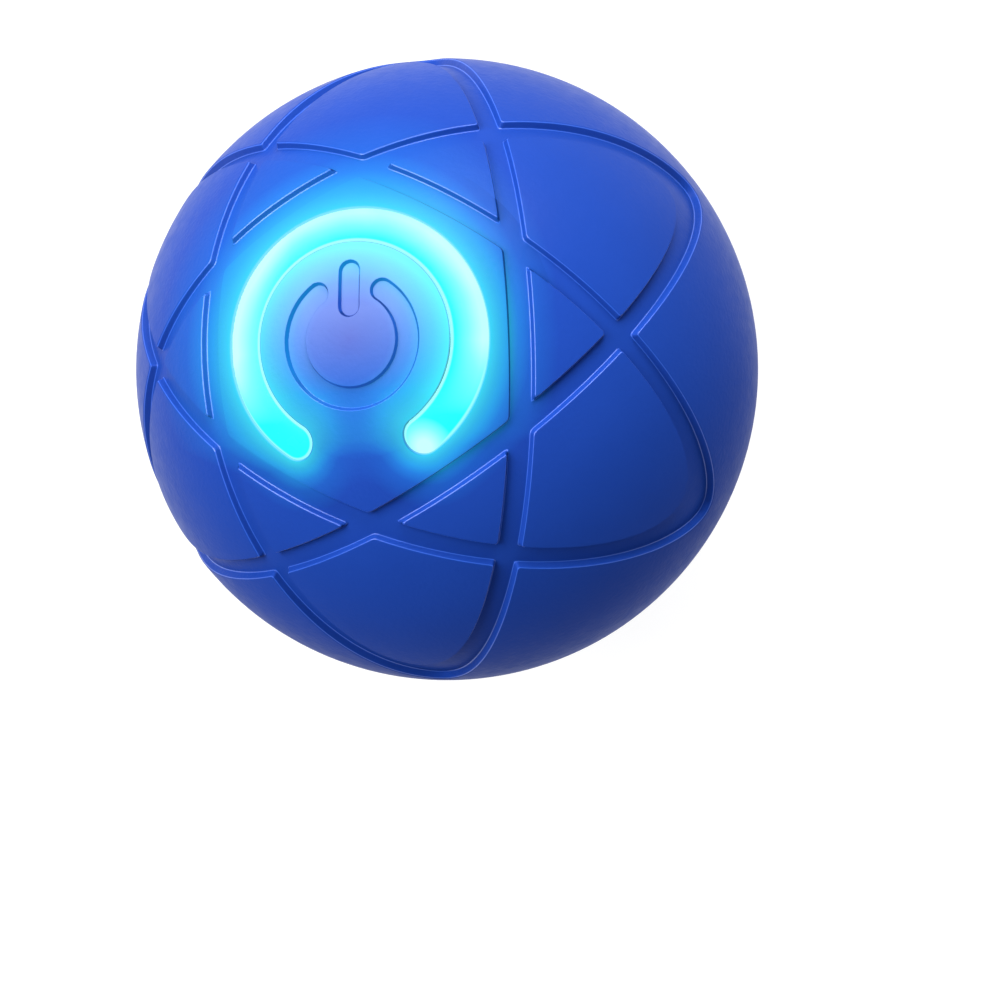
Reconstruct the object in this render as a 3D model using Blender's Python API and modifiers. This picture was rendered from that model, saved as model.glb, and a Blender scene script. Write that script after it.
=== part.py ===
"""A bouncing dog ball: a soft skin with orbit channels over a hard shell that holds a driven weight.

Metres, +Z up. The origin is the ball's centre, +Z is the button's axis and +Y is the icon's top.
"""
import math

import bmesh
import bpy
from mathutils import Vector

# Clearances that several pieces share
FIT_GAP = 0.0003
BORE_GAP = 0.0001
SOLDER_GAP = 0.0001
CUT_OVERRUN = 0.001
EDGE_ROUND = 0.0002
MERGE_SHARE = 0.001

# Ball and skin
BALL_RADIUS = 0.027
SKIN_THICKNESS = 0.003
CHANNEL_DEPTH = 0.0007
CHANNEL_OVERRUN = 0.0004
CHANNEL_DRAFT_DEG = 30.0
ORBIT_COUNT = 3
ORBIT_AZIMUTH_DEG = 30.0
ORBIT_OUTER_END_DEG = 81.3
ORBIT_INNER_END_DEG = 69.3
ORBIT_OUTER_FLANK_DEG = 30.1
ORBIT_INNER_FLANK_DEG = 25.7

# Light ring
RING_MID_RADIUS = 0.00902
RING_HALF_WIDTH = 0.00136
RING_GAP_HALF_DEG = 34.0
FLANGE_REACH = 0.0015
FLANGE_THICKNESS = 0.0012

# Power button
BUTTON_TRAVEL = 0.00045
BUTTON_THICKNESS = 0.0041
STEM_RADIUS = 0.0015
ICON_DEPTH = 0.00025
ICON_INNER_RADIUS = 0.00357
ICON_OUTER_RADIUS = 0.00538
ICON_GAP_HALF_DEG = 35.0
PILL_HALF_WIDTH = 0.00085
PILL_BOTTOM = 0.0017
PILL_TOP = 0.00617

# Hard shells
SHELL_WALL = 0.0018
RIM_DEPTH = 0.0015
RIM_HEIGHT = 0.0024
RIM_TAPER = 0.001
GROOVE_WALL = 0.00095
SEAL_RADIUS = 0.00045
SEAL_SIDE_GAP = 0.00025
SHELL_SCREW_COUNT = 4
SHELL_SCREW_INSET = 0.0036
SHELL_SCREW_AZIMUTH_DEG = 45.0
SHELL_SCREW_HEAD_RADIUS = 0.0018
SHELL_SCREW_HEAD_HEIGHT = 0.0013
SHELL_SCREW_SHANK_RADIUS = 0.001
SHELL_SCREW_SEAT_DEPTH = 0.008
SHELL_SCREW_REACH = 0.0055
BOSS_WALL = 0.0008

# Main board and what it carries
BOARD_THICKNESS = 0.001
BOARD_EDGE_GAP = 0.0006
BOARD_SCREW_COUNT = 3
BOARD_SCREW_INSET = 0.00135
BOARD_SCREW_AZIMUTH_DEG = 90.0
BOARD_SCREW_SHANK_RADIUS = 0.00055
BOARD_SCREW_HEAD_RADIUS = 0.0011
BOARD_SCREW_HEAD_HEIGHT = 0.0008
BOARD_SCREW_GRIP = 0.0028
BOARD_POST_RADIUS = 0.0012
LED_COUNT = 6
LED_SIZE = (0.002, 0.00125, 0.0007)
SWITCH_SIZE = (0.0045, 0.0045, 0.0018)
PLUNGER_RADIUS = 0.0011
PLUNGER_HEIGHT = 0.0016
PLUNGER_PROUD = 0.0009
CHIP_SIZE = (0.005, 0.005, 0.0009)
CHIP_PLACE = (-0.005, -0.0085)
SENSOR_SIZE = (0.003, 0.0025, 0.0011)
SENSOR_PLACE = (0.0, 0.0095)
BATTERY_PLUG_SIZE = (0.003, 0.005, 0.0022)
BATTERY_PLUG_INSET = 0.0027
MOTOR_PLUG_SIZE = (0.0036, 0.005, 0.0022)
MOTOR_PLUG_INSET = 0.0043

# Screw heads
SLOT_RADIUS_SHARE = 0.8
SLOT_DEPTH_SHARE = 0.5
HEAD_EDGE_SHARE = 0.6

# Gears
GEAR_MODULE = 0.0005
PRESSURE_ANGLE_DEG = 20.0
ADDENDUM_SHARE = 0.9
DEDENDUM_SHARE = 1.2
BACKLASH = 0.00012
PINION_TEETH = 10
IDLER_LARGE_TEETH = 28
IDLER_SMALL_TEETH = 10
OUTPUT_TEETH = 27
GEAR_WIDTH = 0.0015
GEAR_SIDE_GAP = 0.0004

# Drive, from the motor side to the battery side along +X
PLATE_THICKNESS = 0.0012
GEARBOX_START_X = -0.0024
PLATE_MARGIN = 0.0009
AXLE_RADIUS = 0.00125
BUSH_WALL = 0.0008
BUSH_FLANGE_REACH = 0.0006
BUSH_FLANGE_THICKNESS = 0.0004
BUSH_RUNNING_GAP = 0.00008
WEIGHT_THICKNESS = 0.0052
WEIGHT_HUB_RADIUS = 0.0031
WEIGHT_HALF_SPAN_DEG = 85.0
WEIGHT_SIDE_GAP = 0.0004
IDLER_PIN_RADIUS = 0.0009
PILLAR_RADIUS = 0.0013
GEARBOX_SCREW_RADIUS = 0.0006
GEARBOX_SCREW_HEAD_RADIUS = 0.0011
GEARBOX_SCREW_HEAD_HEIGHT = 0.0007
GEARBOX_SCREW_GRIP = 0.0036
OUTPUT_SCREWS_DEG = (55.0, -45.0)
IDLER_SCREWS_DEG = (-134.0, 122.0)

# Motor
MOTOR_RADIUS = 0.005
MOTOR_WALL = 0.0006
MOTOR_LENGTH = 0.0135
MOTOR_CAP_LENGTH = 0.002
MOTOR_ANGLE_DEG = 35.0
MOTOR_BOSS_RADIUS = 0.002
MOTOR_BOSS_LENGTH = 0.0009
SHAFT_RADIUS = 0.00075
ARMATURE_RADIUS = 0.0037
ARMATURE_LENGTH = 0.0085
ARMATURE_END_GAP = 0.001
TERMINAL_SIZE = (0.0009, 0.0012, 0.0006)
TERMINAL_SPREAD = 0.0028

# Chassis
FLOOR_THICKNESS = 0.0012
FLOOR_EDGE_GAP = 0.0013
SWING_GAP = 0.0007
CHASSIS_SCREW_COUNT = 3
CHASSIS_SCREW_INSET = 0.0017
CHASSIS_SCREW_SHANK_RADIUS = 0.0008
CHASSIS_SCREW_HEAD_RADIUS = 0.0014
CHASSIS_SCREW_HEAD_HEIGHT = 0.0009
CHASSIS_SCREW_GRIP = 0.0026
CHASSIS_POST_WALL = 0.0009
SADDLE_X = -0.0122
SADDLE_THICKNESS = 0.002
SADDLE_HALF_WIDTH = 0.0038
SADDLE_RISE = 0.0022
LEAD_HOLE_RADIUS = 0.0016
LEAD_HOLE_PLACE = (-0.0066, 0.0032)
LEAD_SIDE_STEP = 0.0022

# Battery
BATTERY_SIZE = (0.0048, 0.017, 0.018)
BATTERY_ROUND = 0.0008
PAD_THICKNESS = 0.0008
POCKET_WALL = 0.0008
POCKET_LENGTH = 0.0056

# Charging port
CHARGE_BOARD_SIZE = (0.015, 0.009, 0.001)
CHARGE_SCREW_X = 0.0062
CHARGE_SCREW_SHANK_RADIUS = 0.00055
CHARGE_SCREW_HEAD_RADIUS = 0.001
CHARGE_SCREW_HEAD_HEIGHT = 0.0007
CHARGE_SCREW_GRIP = 0.0024
CHARGE_POST_RADIUS = 0.0012
SOCKET_LENGTH = 0.006
SOCKET_WIDTH = 0.00894
SOCKET_HEIGHT = 0.00326
SOCKET_WALL = 0.00031
SOCKET_MOUTH_DEPTH = 0.0052
SOCKET_TONGUE_WIDTH = 0.0067
SOCKET_TONGUE_THICKNESS = 0.0007
PORT_FLOOR_DEPTH = 0.0041
PORT_LENGTH = 0.0132
PORT_WIDTH = 0.0072
LEDGE_DEPTH = 0.0024
FLAP_LENGTH = 0.0156
FLAP_WIDTH = 0.009
STUB_INSET = 0.0004
STUB_DEPTH = 0.001
TETHER_WIDTH = 0.004
TETHER_LENGTH = 0.0016
KNUCKLE_RADIUS = 0.0006

# Leads
LEAD_RADIUS = 0.00045
LEAD_PITCH = 0.0024
LEAD_TURN = 0.0016
LEAD_CLEARANCE = 0.0004

# Facets
SKIN_SEGMENTS = 36
CAVITY_SEGMENTS = 24
ORBIT_STEPS = 32
TURN_SEGMENTS = 32
SMALL_SEGMENTS = 12
SCREW_SEGMENTS = 10
SEAL_SEGMENTS = 6
ARC_STEPS = 7
CAP_STEPS = 6
HULL_STEPS = 20

# Sizes that follow from those above
# The skin's widest facets touch the ball's radius, so their corners stand a little outside it
SKIN_CORNER_RADIUS = BALL_RADIUS / math.cos(math.pi / SKIN_SEGMENTS)
SHELL_RADIUS = BALL_RADIUS - SKIN_THICKNESS - FIT_GAP
CAVITY_RADIUS = SHELL_RADIUS - SHELL_WALL
SHELL_SCREW_CIRCLE = CAVITY_RADIUS - SHELL_SCREW_INSET
SPLIT_HALF_GAP = FIT_GAP / 2.0
RING_INNER_RADIUS = RING_MID_RADIUS - RING_HALF_WIDTH
RING_OUTER_RADIUS = RING_MID_RADIUS + RING_HALF_WIDTH
FRONT_HOLE_RADIUS = RING_OUTER_RADIUS + FIT_GAP
FLANGE_RADIUS = RING_OUTER_RADIUS + FLANGE_REACH
FLANGE_SEAT_RADIUS = FLANGE_RADIUS + FIT_GAP
FLANGE_SEAT_Z = math.sqrt(CAVITY_RADIUS ** 2 - FLANGE_SEAT_RADIUS ** 2)
FLANGE_TOP_Z = FLANGE_SEAT_Z - FIT_GAP
FLANGE_BOTTOM_Z = FLANGE_TOP_Z - FLANGE_THICKNESS
LED_TOP_Z = FLANGE_BOTTOM_Z - FIT_GAP
BOARD_TOP_Z = LED_TOP_Z - LED_SIZE[2] - SOLDER_GAP
BOARD_BOTTOM_Z = BOARD_TOP_Z - BOARD_THICKNESS
BOARD_RADIUS = math.sqrt(CAVITY_RADIUS ** 2 - BOARD_TOP_Z ** 2) - BOARD_EDGE_GAP
BOARD_SCREW_CIRCLE = BOARD_RADIUS - BOARD_SCREW_INSET
BATTERY_PLUG_X = BOARD_RADIUS - BATTERY_PLUG_INSET
MOTOR_PLUG_PLACE = (MOTOR_PLUG_INSET - BOARD_RADIUS, 0.0)
SWITCH_BOTTOM_Z = BOARD_TOP_Z + SOLDER_GAP
SWITCH_TOP_Z = SWITCH_BOTTOM_Z + SWITCH_SIZE[2]
PLUNGER_TOP_Z = SWITCH_TOP_Z + PLUNGER_PROUD
PLUNGER_BOTTOM_Z = PLUNGER_TOP_Z - PLUNGER_HEIGHT
BUTTON_FLOOR_Z = BALL_RADIUS - BUTTON_THICKNESS
SHELL_BOSS_RADIUS = SHELL_SCREW_HEAD_RADIUS + FIT_GAP + BOSS_WALL
SHELL_SCREW_SEAT_Z = -SHELL_SCREW_SEAT_DEPTH

LAYER_ONE_X = GEARBOX_START_X + GEAR_SIDE_GAP
LAYER_TWO_X = LAYER_ONE_X + GEAR_WIDTH + GEAR_SIDE_GAP
COVER_X = LAYER_TWO_X + GEAR_WIDTH + GEAR_SIDE_GAP
COVER_END_X = COVER_X + PLATE_THICKNESS
PLATE_X = GEARBOX_START_X - PLATE_THICKNESS
WEIGHT_X = COVER_END_X + SOLDER_GAP + BUSH_FLANGE_THICKNESS + WEIGHT_SIDE_GAP
WEIGHT_END_X = WEIGHT_X + WEIGHT_THICKNESS
WALL_X = WEIGHT_END_X + WEIGHT_SIDE_GAP + BUSH_FLANGE_THICKNESS + SOLDER_GAP
WALL_END_X = WALL_X + PLATE_THICKNESS
POCKET_HALF_Y = BATTERY_SIZE[1] / 2.0 + FIT_GAP + POCKET_WALL
POCKET_HALF_Z = BATTERY_SIZE[2] / 2.0 + FIT_GAP + POCKET_WALL
POCKET_END_X = WALL_END_X + POCKET_LENGTH
BUSH_RADIUS = AXLE_RADIUS + BUSH_RUNNING_GAP + BUSH_WALL
BATTERY_X = WALL_END_X + FIT_GAP + PAD_THICKNESS + FIT_GAP
IDLER_Y = -GEAR_MODULE * (IDLER_SMALL_TEETH + OUTPUT_TEETH) / 2.0
MOTOR_CENTRES = GEAR_MODULE * (PINION_TEETH + IDLER_LARGE_TEETH) / 2.0
MOTOR_Y = IDLER_Y + MOTOR_CENTRES * math.cos(math.radians(MOTOR_ANGLE_DEG))
MOTOR_Z = MOTOR_CENTRES * math.sin(math.radians(MOTOR_ANGLE_DEG))
MOTOR_FRONT_X = PLATE_X - FIT_GAP
MOTOR_BACK_X = MOTOR_FRONT_X - MOTOR_LENGTH
MOTOR_CAP_X = MOTOR_BACK_X + MOTOR_CAP_LENGTH
PORT_FLOOR_Z = -(BALL_RADIUS - PORT_FLOOR_DEPTH)
LEDGE_Z = -(BALL_RADIUS - LEDGE_DEPTH)
SOCKET_TOP_Z = PORT_FLOOR_Z + SOCKET_LENGTH
CHARGE_BOARD_BOTTOM_Z = SOCKET_TOP_Z + SOLDER_GAP
CHARGE_BOARD_TOP_Z = CHARGE_BOARD_BOTTOM_Z + CHARGE_BOARD_SIZE[2]
FLOOR_BOTTOM_Z = CHARGE_BOARD_TOP_Z + FIT_GAP + CHARGE_SCREW_HEAD_HEIGHT + FIT_GAP
FLOOR_TOP_Z = FLOOR_BOTTOM_Z + FLOOR_THICKNESS
FLOOR_RADIUS = math.sqrt(CAVITY_RADIUS ** 2 - FLOOR_BOTTOM_Z ** 2) - FLOOR_EDGE_GAP
WEIGHT_RADIUS = -FLOOR_TOP_Z - SWING_GAP
CHASSIS_POST_RADIUS = CHASSIS_SCREW_SHANK_RADIUS + CHASSIS_POST_WALL
CHASSIS_SCREW_CIRCLE = FLOOR_RADIUS - CHASSIS_SCREW_INSET
TETHER_END_X = -(FLAP_LENGTH / 2.0 + TETHER_LENGTH)
HINGE_X = TETHER_END_X + KNUCKLE_RADIUS
HINGE_Z = LEDGE_Z - KNUCKLE_RADIUS
HINGE_PLAY = FIT_GAP / 4.0

# Local x, y and z become world y, z and x
ALONG_X = (math.pi / 2.0, 0.0, math.pi / 2.0)
UP = (0.0, 0.0, 0.0)
MAIN_CENTRE = (0.0, 0.0)
IDLER_CENTRE = (IDLER_Y, 0.0)
MOTOR_CENTRE = (MOTOR_Y, MOTOR_Z)

# Finishes: colour, roughness and metallic
SKIN_BLUE = ((0.03, 0.10, 0.60), 0.42, 0.0)
GLOW_CYAN = ((0.25, 0.95, 1.0), 0.3, 0.0)
SHELL_GREY = ((0.75, 0.77, 0.80), 0.4, 0.0)
SEAL_BLACK = ((0.02, 0.02, 0.02), 0.6, 0.0)
STEEL = ((0.55, 0.55, 0.56), 0.35, 1.0)
BRASS = ((0.72, 0.53, 0.22), 0.35, 1.0)
BOARD_GREEN = ((0.02, 0.22, 0.08), 0.45, 0.0)
CHIP_BLACK = ((0.02, 0.02, 0.022), 0.5, 0.0)
LED_WHITE = ((0.9, 0.93, 0.85), 0.35, 0.0)
PLUG_WHITE = ((0.85, 0.84, 0.78), 0.5, 0.0)
CELL_SILVER = ((0.6, 0.61, 0.63), 0.4, 0.3)
FOAM_GREY = ((0.12, 0.12, 0.13), 0.9, 0.0)
GEAR_IVORY = ((0.85, 0.82, 0.72), 0.45, 0.0)
CHASSIS_BLACK = ((0.05, 0.05, 0.055), 0.5, 0.0)
COPPER = ((0.75, 0.33, 0.16), 0.4, 1.0)
LEAD_RED = ((0.55, 0.02, 0.02), 0.45, 0.0)
LEAD_BLACK = ((0.02, 0.02, 0.02), 0.45, 0.0)

parts = None
cutters = None


def start():
    """Clear the scene and make the two collections."""
    global parts, cutters
    for thing in list(bpy.data.objects):
        bpy.data.objects.remove(thing, do_unlink=True)
    parts = bpy.data.collections.new("bouncing_dog_ball")
    cutters = bpy.data.collections.new("cutters")
    bpy.context.scene.collection.children.link(parts)
    bpy.context.scene.collection.children.link(cutters)


def finish_of(name, finish):
    """A Principled material of this colour, roughness and metallic value."""
    colour, roughness, metallic = finish
    material = bpy.data.materials.new(name + "_finish")
    material.use_nodes = True
    shader = material.node_tree.nodes["Principled BSDF"]
    shader.inputs["Base Color"].default_value = (*colour, 1.0)
    shader.inputs["Roughness"].default_value = roughness
    shader.inputs["Metallic"].default_value = metallic
    material.diffuse_color = (*colour, 1.0)
    return material


def place(thing, finish, location=(0.0, 0.0, 0.0), rotation=UP):
    """Put an object in the parts with its finish, or among the cutters when it has none."""
    thing.location = location
    thing.rotation_euler = rotation
    if finish is None:
        cutters.objects.link(thing)
        thing.hide_render = True
        thing.display_type = "WIRE"
    else:
        parts.objects.link(thing)
        thing.data.materials.append(finish_of(thing.name, finish))
    return thing


def from_bmesh(name, shape, finish, location=(0.0, 0.0, 0.0), rotation=UP):
    mesh = bpy.data.meshes.new(name)
    shape.to_mesh(mesh)
    shape.free()
    return place(bpy.data.objects.new(name, mesh), finish, location, rotation)


def smooth(thing, angle_deg=35.0):
    thing.data.shade_smooth()
    thing.data.set_sharp_from_angle(angle=math.radians(angle_deg))
    return thing


def box(name, low, high, finish, edge=0.0):
    """A block between two corners, with its edges rounded by this much."""
    shape = bmesh.new()
    bmesh.ops.create_cube(shape, size=1.0)
    size = [b - a for a, b in zip(low, high)]
    middle = [(a + b) / 2.0 for a, b in zip(low, high)]
    bmesh.ops.scale(shape, vec=size, verts=shape.verts)
    block = from_bmesh(name, shape, finish, middle)
    if edge:
        bevel = block.modifiers.new("edges", "BEVEL")
        bevel.width = edge
        bevel.segments = 1
    return block


def rod(name, radius, low, high, finish, centre=(0.0, 0.0), along_x=False, segments=SMALL_SEGMENTS):
    """A cylinder from low to high along Z, or along X with its centre given as y and z."""
    shape = bmesh.new()
    bmesh.ops.create_cone(shape, cap_ends=True, segments=segments, radius1=radius, radius2=radius,
                          depth=high - low)
    middle = (low + high) / 2.0
    if along_x:
        return smooth(from_bmesh(name, shape, finish, (middle, *centre), ALONG_X))
    return smooth(from_bmesh(name, shape, finish, (*centre, middle)))


def ball(name, radius, finish, segments=SKIN_SEGMENTS):
    """A sphere turned half a facet, so that its edges stay off the corners of the channels."""
    shape = bmesh.new()
    bmesh.ops.create_uvsphere(shape, u_segments=segments, v_segments=segments // 2, radius=radius)
    return smooth(from_bmesh(name, shape, finish, rotation=(0.0, 0.0, math.pi / segments)))


def turned(name, profile, finish, centre=(0.0, 0.0, 0.0), along_x=False, closed=False,
           segments=TURN_SEGMENTS):
    """A profile of radius and height, which runs down its outer side, turned round its axis."""
    mesh = bpy.data.meshes.new(name)
    count = len(profile)
    edges = [(i, (i + 1) % count) for i in range(count if closed else count - 1)]
    mesh.from_pydata([(radius, 0.0, height) for radius, height in profile], edges, [])
    piece = place(bpy.data.objects.new(name, mesh), finish, centre, ALONG_X if along_x else UP)
    screw = piece.modifiers.new("turn", "SCREW")
    screw.axis = "Z"
    screw.steps = segments
    screw.render_steps = segments
    screw.use_merge_vertices = True
    screw.merge_threshold = MERGE_SHARE * min(FIT_GAP, SOLDER_GAP)
    screw.use_smooth_shade = False
    return piece


def flat(name, outlines, low, high, finish, location=(0.0, 0.0), along_x=False):
    """A flat outline, with any holes as further outlines, from low to high across it."""
    curve = bpy.data.curves.new(name, "CURVE")
    curve.dimensions = "2D"
    curve.fill_mode = "BOTH"
    curve.extrude = (high - low) / 2.0
    for outline in outlines:
        spline = curve.splines.new("POLY")
        spline.points.add(len(outline) - 1)
        for point, (u, v) in zip(spline.points, outline):
            point.co = (u, v, 0.0, 1.0)
        spline.use_cyclic_u = True
    guide = bpy.data.objects.new(name + "_outline", curve)
    cutters.objects.link(guide)
    bpy.context.view_layer.update()
    seen = guide.evaluated_get(bpy.context.evaluated_depsgraph_get())
    mesh = bpy.data.meshes.new_from_object(seen)
    shape = bmesh.new()
    shape.from_mesh(mesh)
    bmesh.ops.remove_doubles(shape, verts=shape.verts, dist=MERGE_SHARE * FIT_GAP)
    bmesh.ops.recalc_face_normals(shape, faces=shape.faces)
    bpy.data.objects.remove(guide, do_unlink=True)
    middle = (low + high) / 2.0
    if along_x:
        return from_bmesh(name, shape, finish, (middle, *location), ALONG_X)
    return from_bmesh(name, shape, finish, (*location, middle))


def combine(target, tool, operation, solver="EXACT"):
    change = target.modifiers.new(operation.lower(), "BOOLEAN")
    change.operation = operation
    change.object = tool
    change.solver = solver
    return target


def cut(target, tool, solver="EXACT"):
    return combine(target, tool, "DIFFERENCE", solver)


def join(target, tool, solver="EXACT"):
    return combine(target, tool, "UNION", solver)


def keep_inside(target, tool):
    return combine(target, tool, "INTERSECT")


def hang_on(joint, *pieces):
    """Parent pieces to a joint's empty and leave them where they are."""
    for piece in pieces:
        piece.parent = joint
        piece.location = Vector(piece.location) - Vector(joint.location)


def joint_at(name, location):
    joint = bpy.data.objects.new(name, None)
    joint.empty_display_size = FIT_GAP
    joint.location = location
    parts.objects.link(joint)
    return joint


def on_circle(radius, angle_deg, centre=(0.0, 0.0)):
    turn = math.radians(angle_deg)
    return (centre[0] + radius * math.cos(turn), centre[1] + radius * math.sin(turn))


def around(count, first_deg):
    return [first_deg + 360.0 * index / count for index in range(count)]


def arc(radius, start_deg, end_deg, centre=(0.0, 0.0), steps=ARC_STEPS):
    return [on_circle(radius, start_deg + (end_deg - start_deg) * step / steps, centre)
            for step in range(steps + 1)]


def circle(radius, centre=(0.0, 0.0), steps=SMALL_SEGMENTS):
    return arc(radius, 0.0, 360.0, centre, steps)[:-1]


def obround(length, width):
    """A long hole's outline along the first direction."""
    reach = (length - width) / 2.0
    right = arc(width / 2.0, -90.0, 90.0, (reach, 0.0))
    left = arc(width / 2.0, 90.0, 270.0, (-reach, 0.0))
    return right + left


def c_band(mid_radius, half_width, gap_half_deg, gap_deg):
    """The outline of a C with round ends, open towards gap_deg."""
    start = gap_deg + gap_half_deg
    end = gap_deg + 360.0 - gap_half_deg
    steps = 3 * ARC_STEPS
    outer = arc(mid_radius + half_width, start, end, steps=steps)
    far_cap = arc(half_width, end, end + 180.0, on_circle(mid_radius, end))
    inner = arc(mid_radius - half_width, end, start, steps=steps)
    near_cap = arc(half_width, start + 180.0, start + 360.0, on_circle(mid_radius, start))
    return outer + far_cap[1:-1] + inner + near_cap[1:-1]


def hull(circles):
    """The outline of a belt round circles given as radius and centre."""
    points = sorted(set(point for radius, centre in circles for point in circle(radius, centre, HULL_STEPS)))

    def side(ordered):
        chain = []
        for point in ordered:
            while len(chain) > 1:
                a, b = chain[-2], chain[-1]
                turn = (b[0] - a[0]) * (point[1] - a[1]) - (b[1] - a[1]) * (point[0] - a[0])
                if turn > 0.0:
                    break
                chain.pop()
            chain.append(point)
        return chain[:-1]

    return side(points) + side(points[::-1])


def sphere_arc(sphere_radius, start_radius, end_radius, side=1.0, steps=ARC_STEPS):
    """Profile points on a sphere between two distances from the axis, above or below the middle."""
    start = math.asin(start_radius / sphere_radius)
    end = math.asin(end_radius / sphere_radius)
    turns = [start + (end - start) * step / steps for step in range(steps + 1)]
    return [(sphere_radius * math.sin(turn), side * sphere_radius * math.cos(turn)) for turn in turns]


def cap(name, sphere_radius, reach, floor_z, finish=None):
    """A domed plug: the top of a sphere out to this reach, with a flat floor."""
    profile = sphere_arc(sphere_radius, 0.0, reach, steps=CAP_STEPS) + [(reach, floor_z), (0.0, floor_z)]
    return turned(name, profile, finish)


def screw(name, seat, direction, head_radius, head_height, shank_radius, grip):
    """A pan-head screw with its head's underside at seat and its shank along direction."""
    slot_radius = shank_radius * SLOT_RADIUS_SHARE
    slot_depth = head_height * SLOT_DEPTH_SHARE
    profile = [(0.0, head_height - slot_depth), (slot_radius, head_height - slot_depth),
               (slot_radius, head_height), (head_radius, head_height * HEAD_EDGE_SHARE), (head_radius, 0.0),
               (shank_radius, 0.0), (shank_radius, -grip), (0.0, -grip)]
    piece = turned(name, profile, STEEL, seat, segments=SCREW_SEGMENTS)
    piece.rotation_euler = Vector(direction).to_track_quat("-Z", "Y").to_euler()
    return piece


def orbit_direction(end_deg, flank_deg, turn):
    """A point of an ellipse drawn flat across the button's axis and dropped on a unit sphere."""
    x = math.sin(math.radians(end_deg)) * math.cos(turn)
    y = math.sin(math.radians(flank_deg)) * math.sin(turn)
    return Vector((x, y, math.sqrt(1.0 - x * x - y * y)))


def channel_section(turn):
    """Four corners across a channel: walls that lean out to the sphere from below its floor."""
    inner = orbit_direction(ORBIT_INNER_END_DEG, ORBIT_INNER_FLANK_DEG, turn)
    outer = orbit_direction(ORBIT_OUTER_END_DEG, ORBIT_OUTER_FLANK_DEG, turn)
    top = BALL_RADIUS + CUT_OVERRUN
    bottom = BALL_RADIUS - CHANNEL_DEPTH - CHANNEL_OVERRUN
    corners = []
    for radius, wall, other in ((top, inner, outer), (bottom, inner, outer),
                                (bottom, outer, inner), (top, outer, inner)):
        lean = (BALL_RADIUS - radius) * math.tan(math.radians(CHANNEL_DRAFT_DEG)) / BALL_RADIUS
        corners.append(wall.lerp(other, lean / inner.angle(outer)).normalized() * radius)
    return corners


def channel_cutter(index):
    """One orbit on the front and its mirror image on the back."""
    azimuth = math.radians(ORBIT_AZIMUTH_DEG + 180.0 * index / ORBIT_COUNT)
    shape = bmesh.new()
    for side in (1.0, -1.0):
        rings = []
        for step in range(ORBIT_STEPS):
            corners = channel_section(2.0 * math.pi * (step + 0.5) / ORBIT_STEPS)
            rings.append([shape.verts.new((c.x * math.cos(azimuth) - c.y * math.sin(azimuth),
                                           c.x * math.sin(azimuth) + c.y * math.cos(azimuth),
                                           c.z * side)) for c in corners])
        for here, after in zip(rings, rings[1:] + rings[:1]):
            for k in range(4):
                shape.faces.new((here[k], here[(k + 1) % 4], after[(k + 1) % 4], after[k]))
    bmesh.ops.recalc_face_normals(shape, faces=shape.faces)
    return from_bmesh("channel_cutter_%d" % (index + 1), shape, None)


def outer_skin():
    """The soft sleeve: channels cut down to a smaller sphere, a round front hole and the port.

    The crossing channels graze each other's floors, which the exact solver opens, so this piece
    is cut with the manifold one.
    """
    skin = ball("outer_skin", SKIN_CORNER_RADIUS, SKIN_BLUE)
    channels = channel_cutter(0)
    for index in range(1, ORBIT_COUNT):
        join(channels, channel_cutter(index), "MANIFOLD")
    cut(channels, ball("channel_floor", SKIN_CORNER_RADIUS - CHANNEL_DEPTH, None), "MANIFOLD")
    low = -(BALL_RADIUS + CUT_OVERRUN)
    half = TETHER_WIDTH / 2.0 + FIT_GAP
    recess = obround(FLAP_LENGTH + 2.0 * FIT_GAP, FLAP_WIDTH + 2.0 * FIT_GAP)
    tools = [channels,
             ball("skin_cavity", BALL_RADIUS - SKIN_THICKNESS, None),
             rod("front_hole", FRONT_HOLE_RADIUS, 0.0, BALL_RADIUS + CUT_OVERRUN, None,
                 segments=TURN_SEGMENTS),
             flat("port_well", [obround(PORT_LENGTH, PORT_WIDTH)], low, -SHELL_RADIUS / 2.0, None),
             flat("flap_recess", [recess], low, LEDGE_Z, None),
             box("tether_slot", (TETHER_END_X - FIT_GAP, -half, low), (0.0, half, LEDGE_Z), None)]
    for tool in tools:
        cut(skin, tool, "MANIFOLD")
    return skin


def icon_cutter():
    """The open circle and its bar, down to a smaller sphere."""
    mid = (ICON_INNER_RADIUS + ICON_OUTER_RADIUS) / 2.0
    half = (ICON_OUTER_RADIUS - ICON_INNER_RADIUS) / 2.0
    top = BALL_RADIUS + CUT_OVERRUN
    below = BUTTON_FLOOR_Z + STEM_RADIUS
    bar = [(x, y + (PILL_TOP + PILL_BOTTOM) / 2.0)
           for y, x in obround(PILL_TOP - PILL_BOTTOM, 2.0 * PILL_HALF_WIDTH)]
    icon = flat("icon", [c_band(mid, half, ICON_GAP_HALF_DEG, 90.0), bar], below, top, None)
    reach = RING_OUTER_RADIUS
    return cut(icon, cap("icon_floor", BALL_RADIUS - ICON_DEPTH, reach, BUTTON_FLOOR_Z))


def power_button():
    """The soft pad inside the light ring, its tongue in the ring's gap and its stem."""
    pad = cap("power_button", BALL_RADIUS, RING_OUTER_RADIUS, BUTTON_FLOOR_Z, SKIN_BLUE)
    slot = c_band(RING_MID_RADIUS, RING_HALF_WIDTH + FIT_GAP, RING_GAP_HALF_DEG, -90.0)
    cut(pad, flat("ring_slot", [slot], 0.0, BALL_RADIUS + CUT_OVERRUN, None))
    cut(pad, icon_cutter())
    join(pad, rod("stem", STEM_RADIUS, PLUNGER_TOP_Z + FIT_GAP, BUTTON_FLOOR_Z + STEM_RADIUS, None))
    return pad


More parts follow.
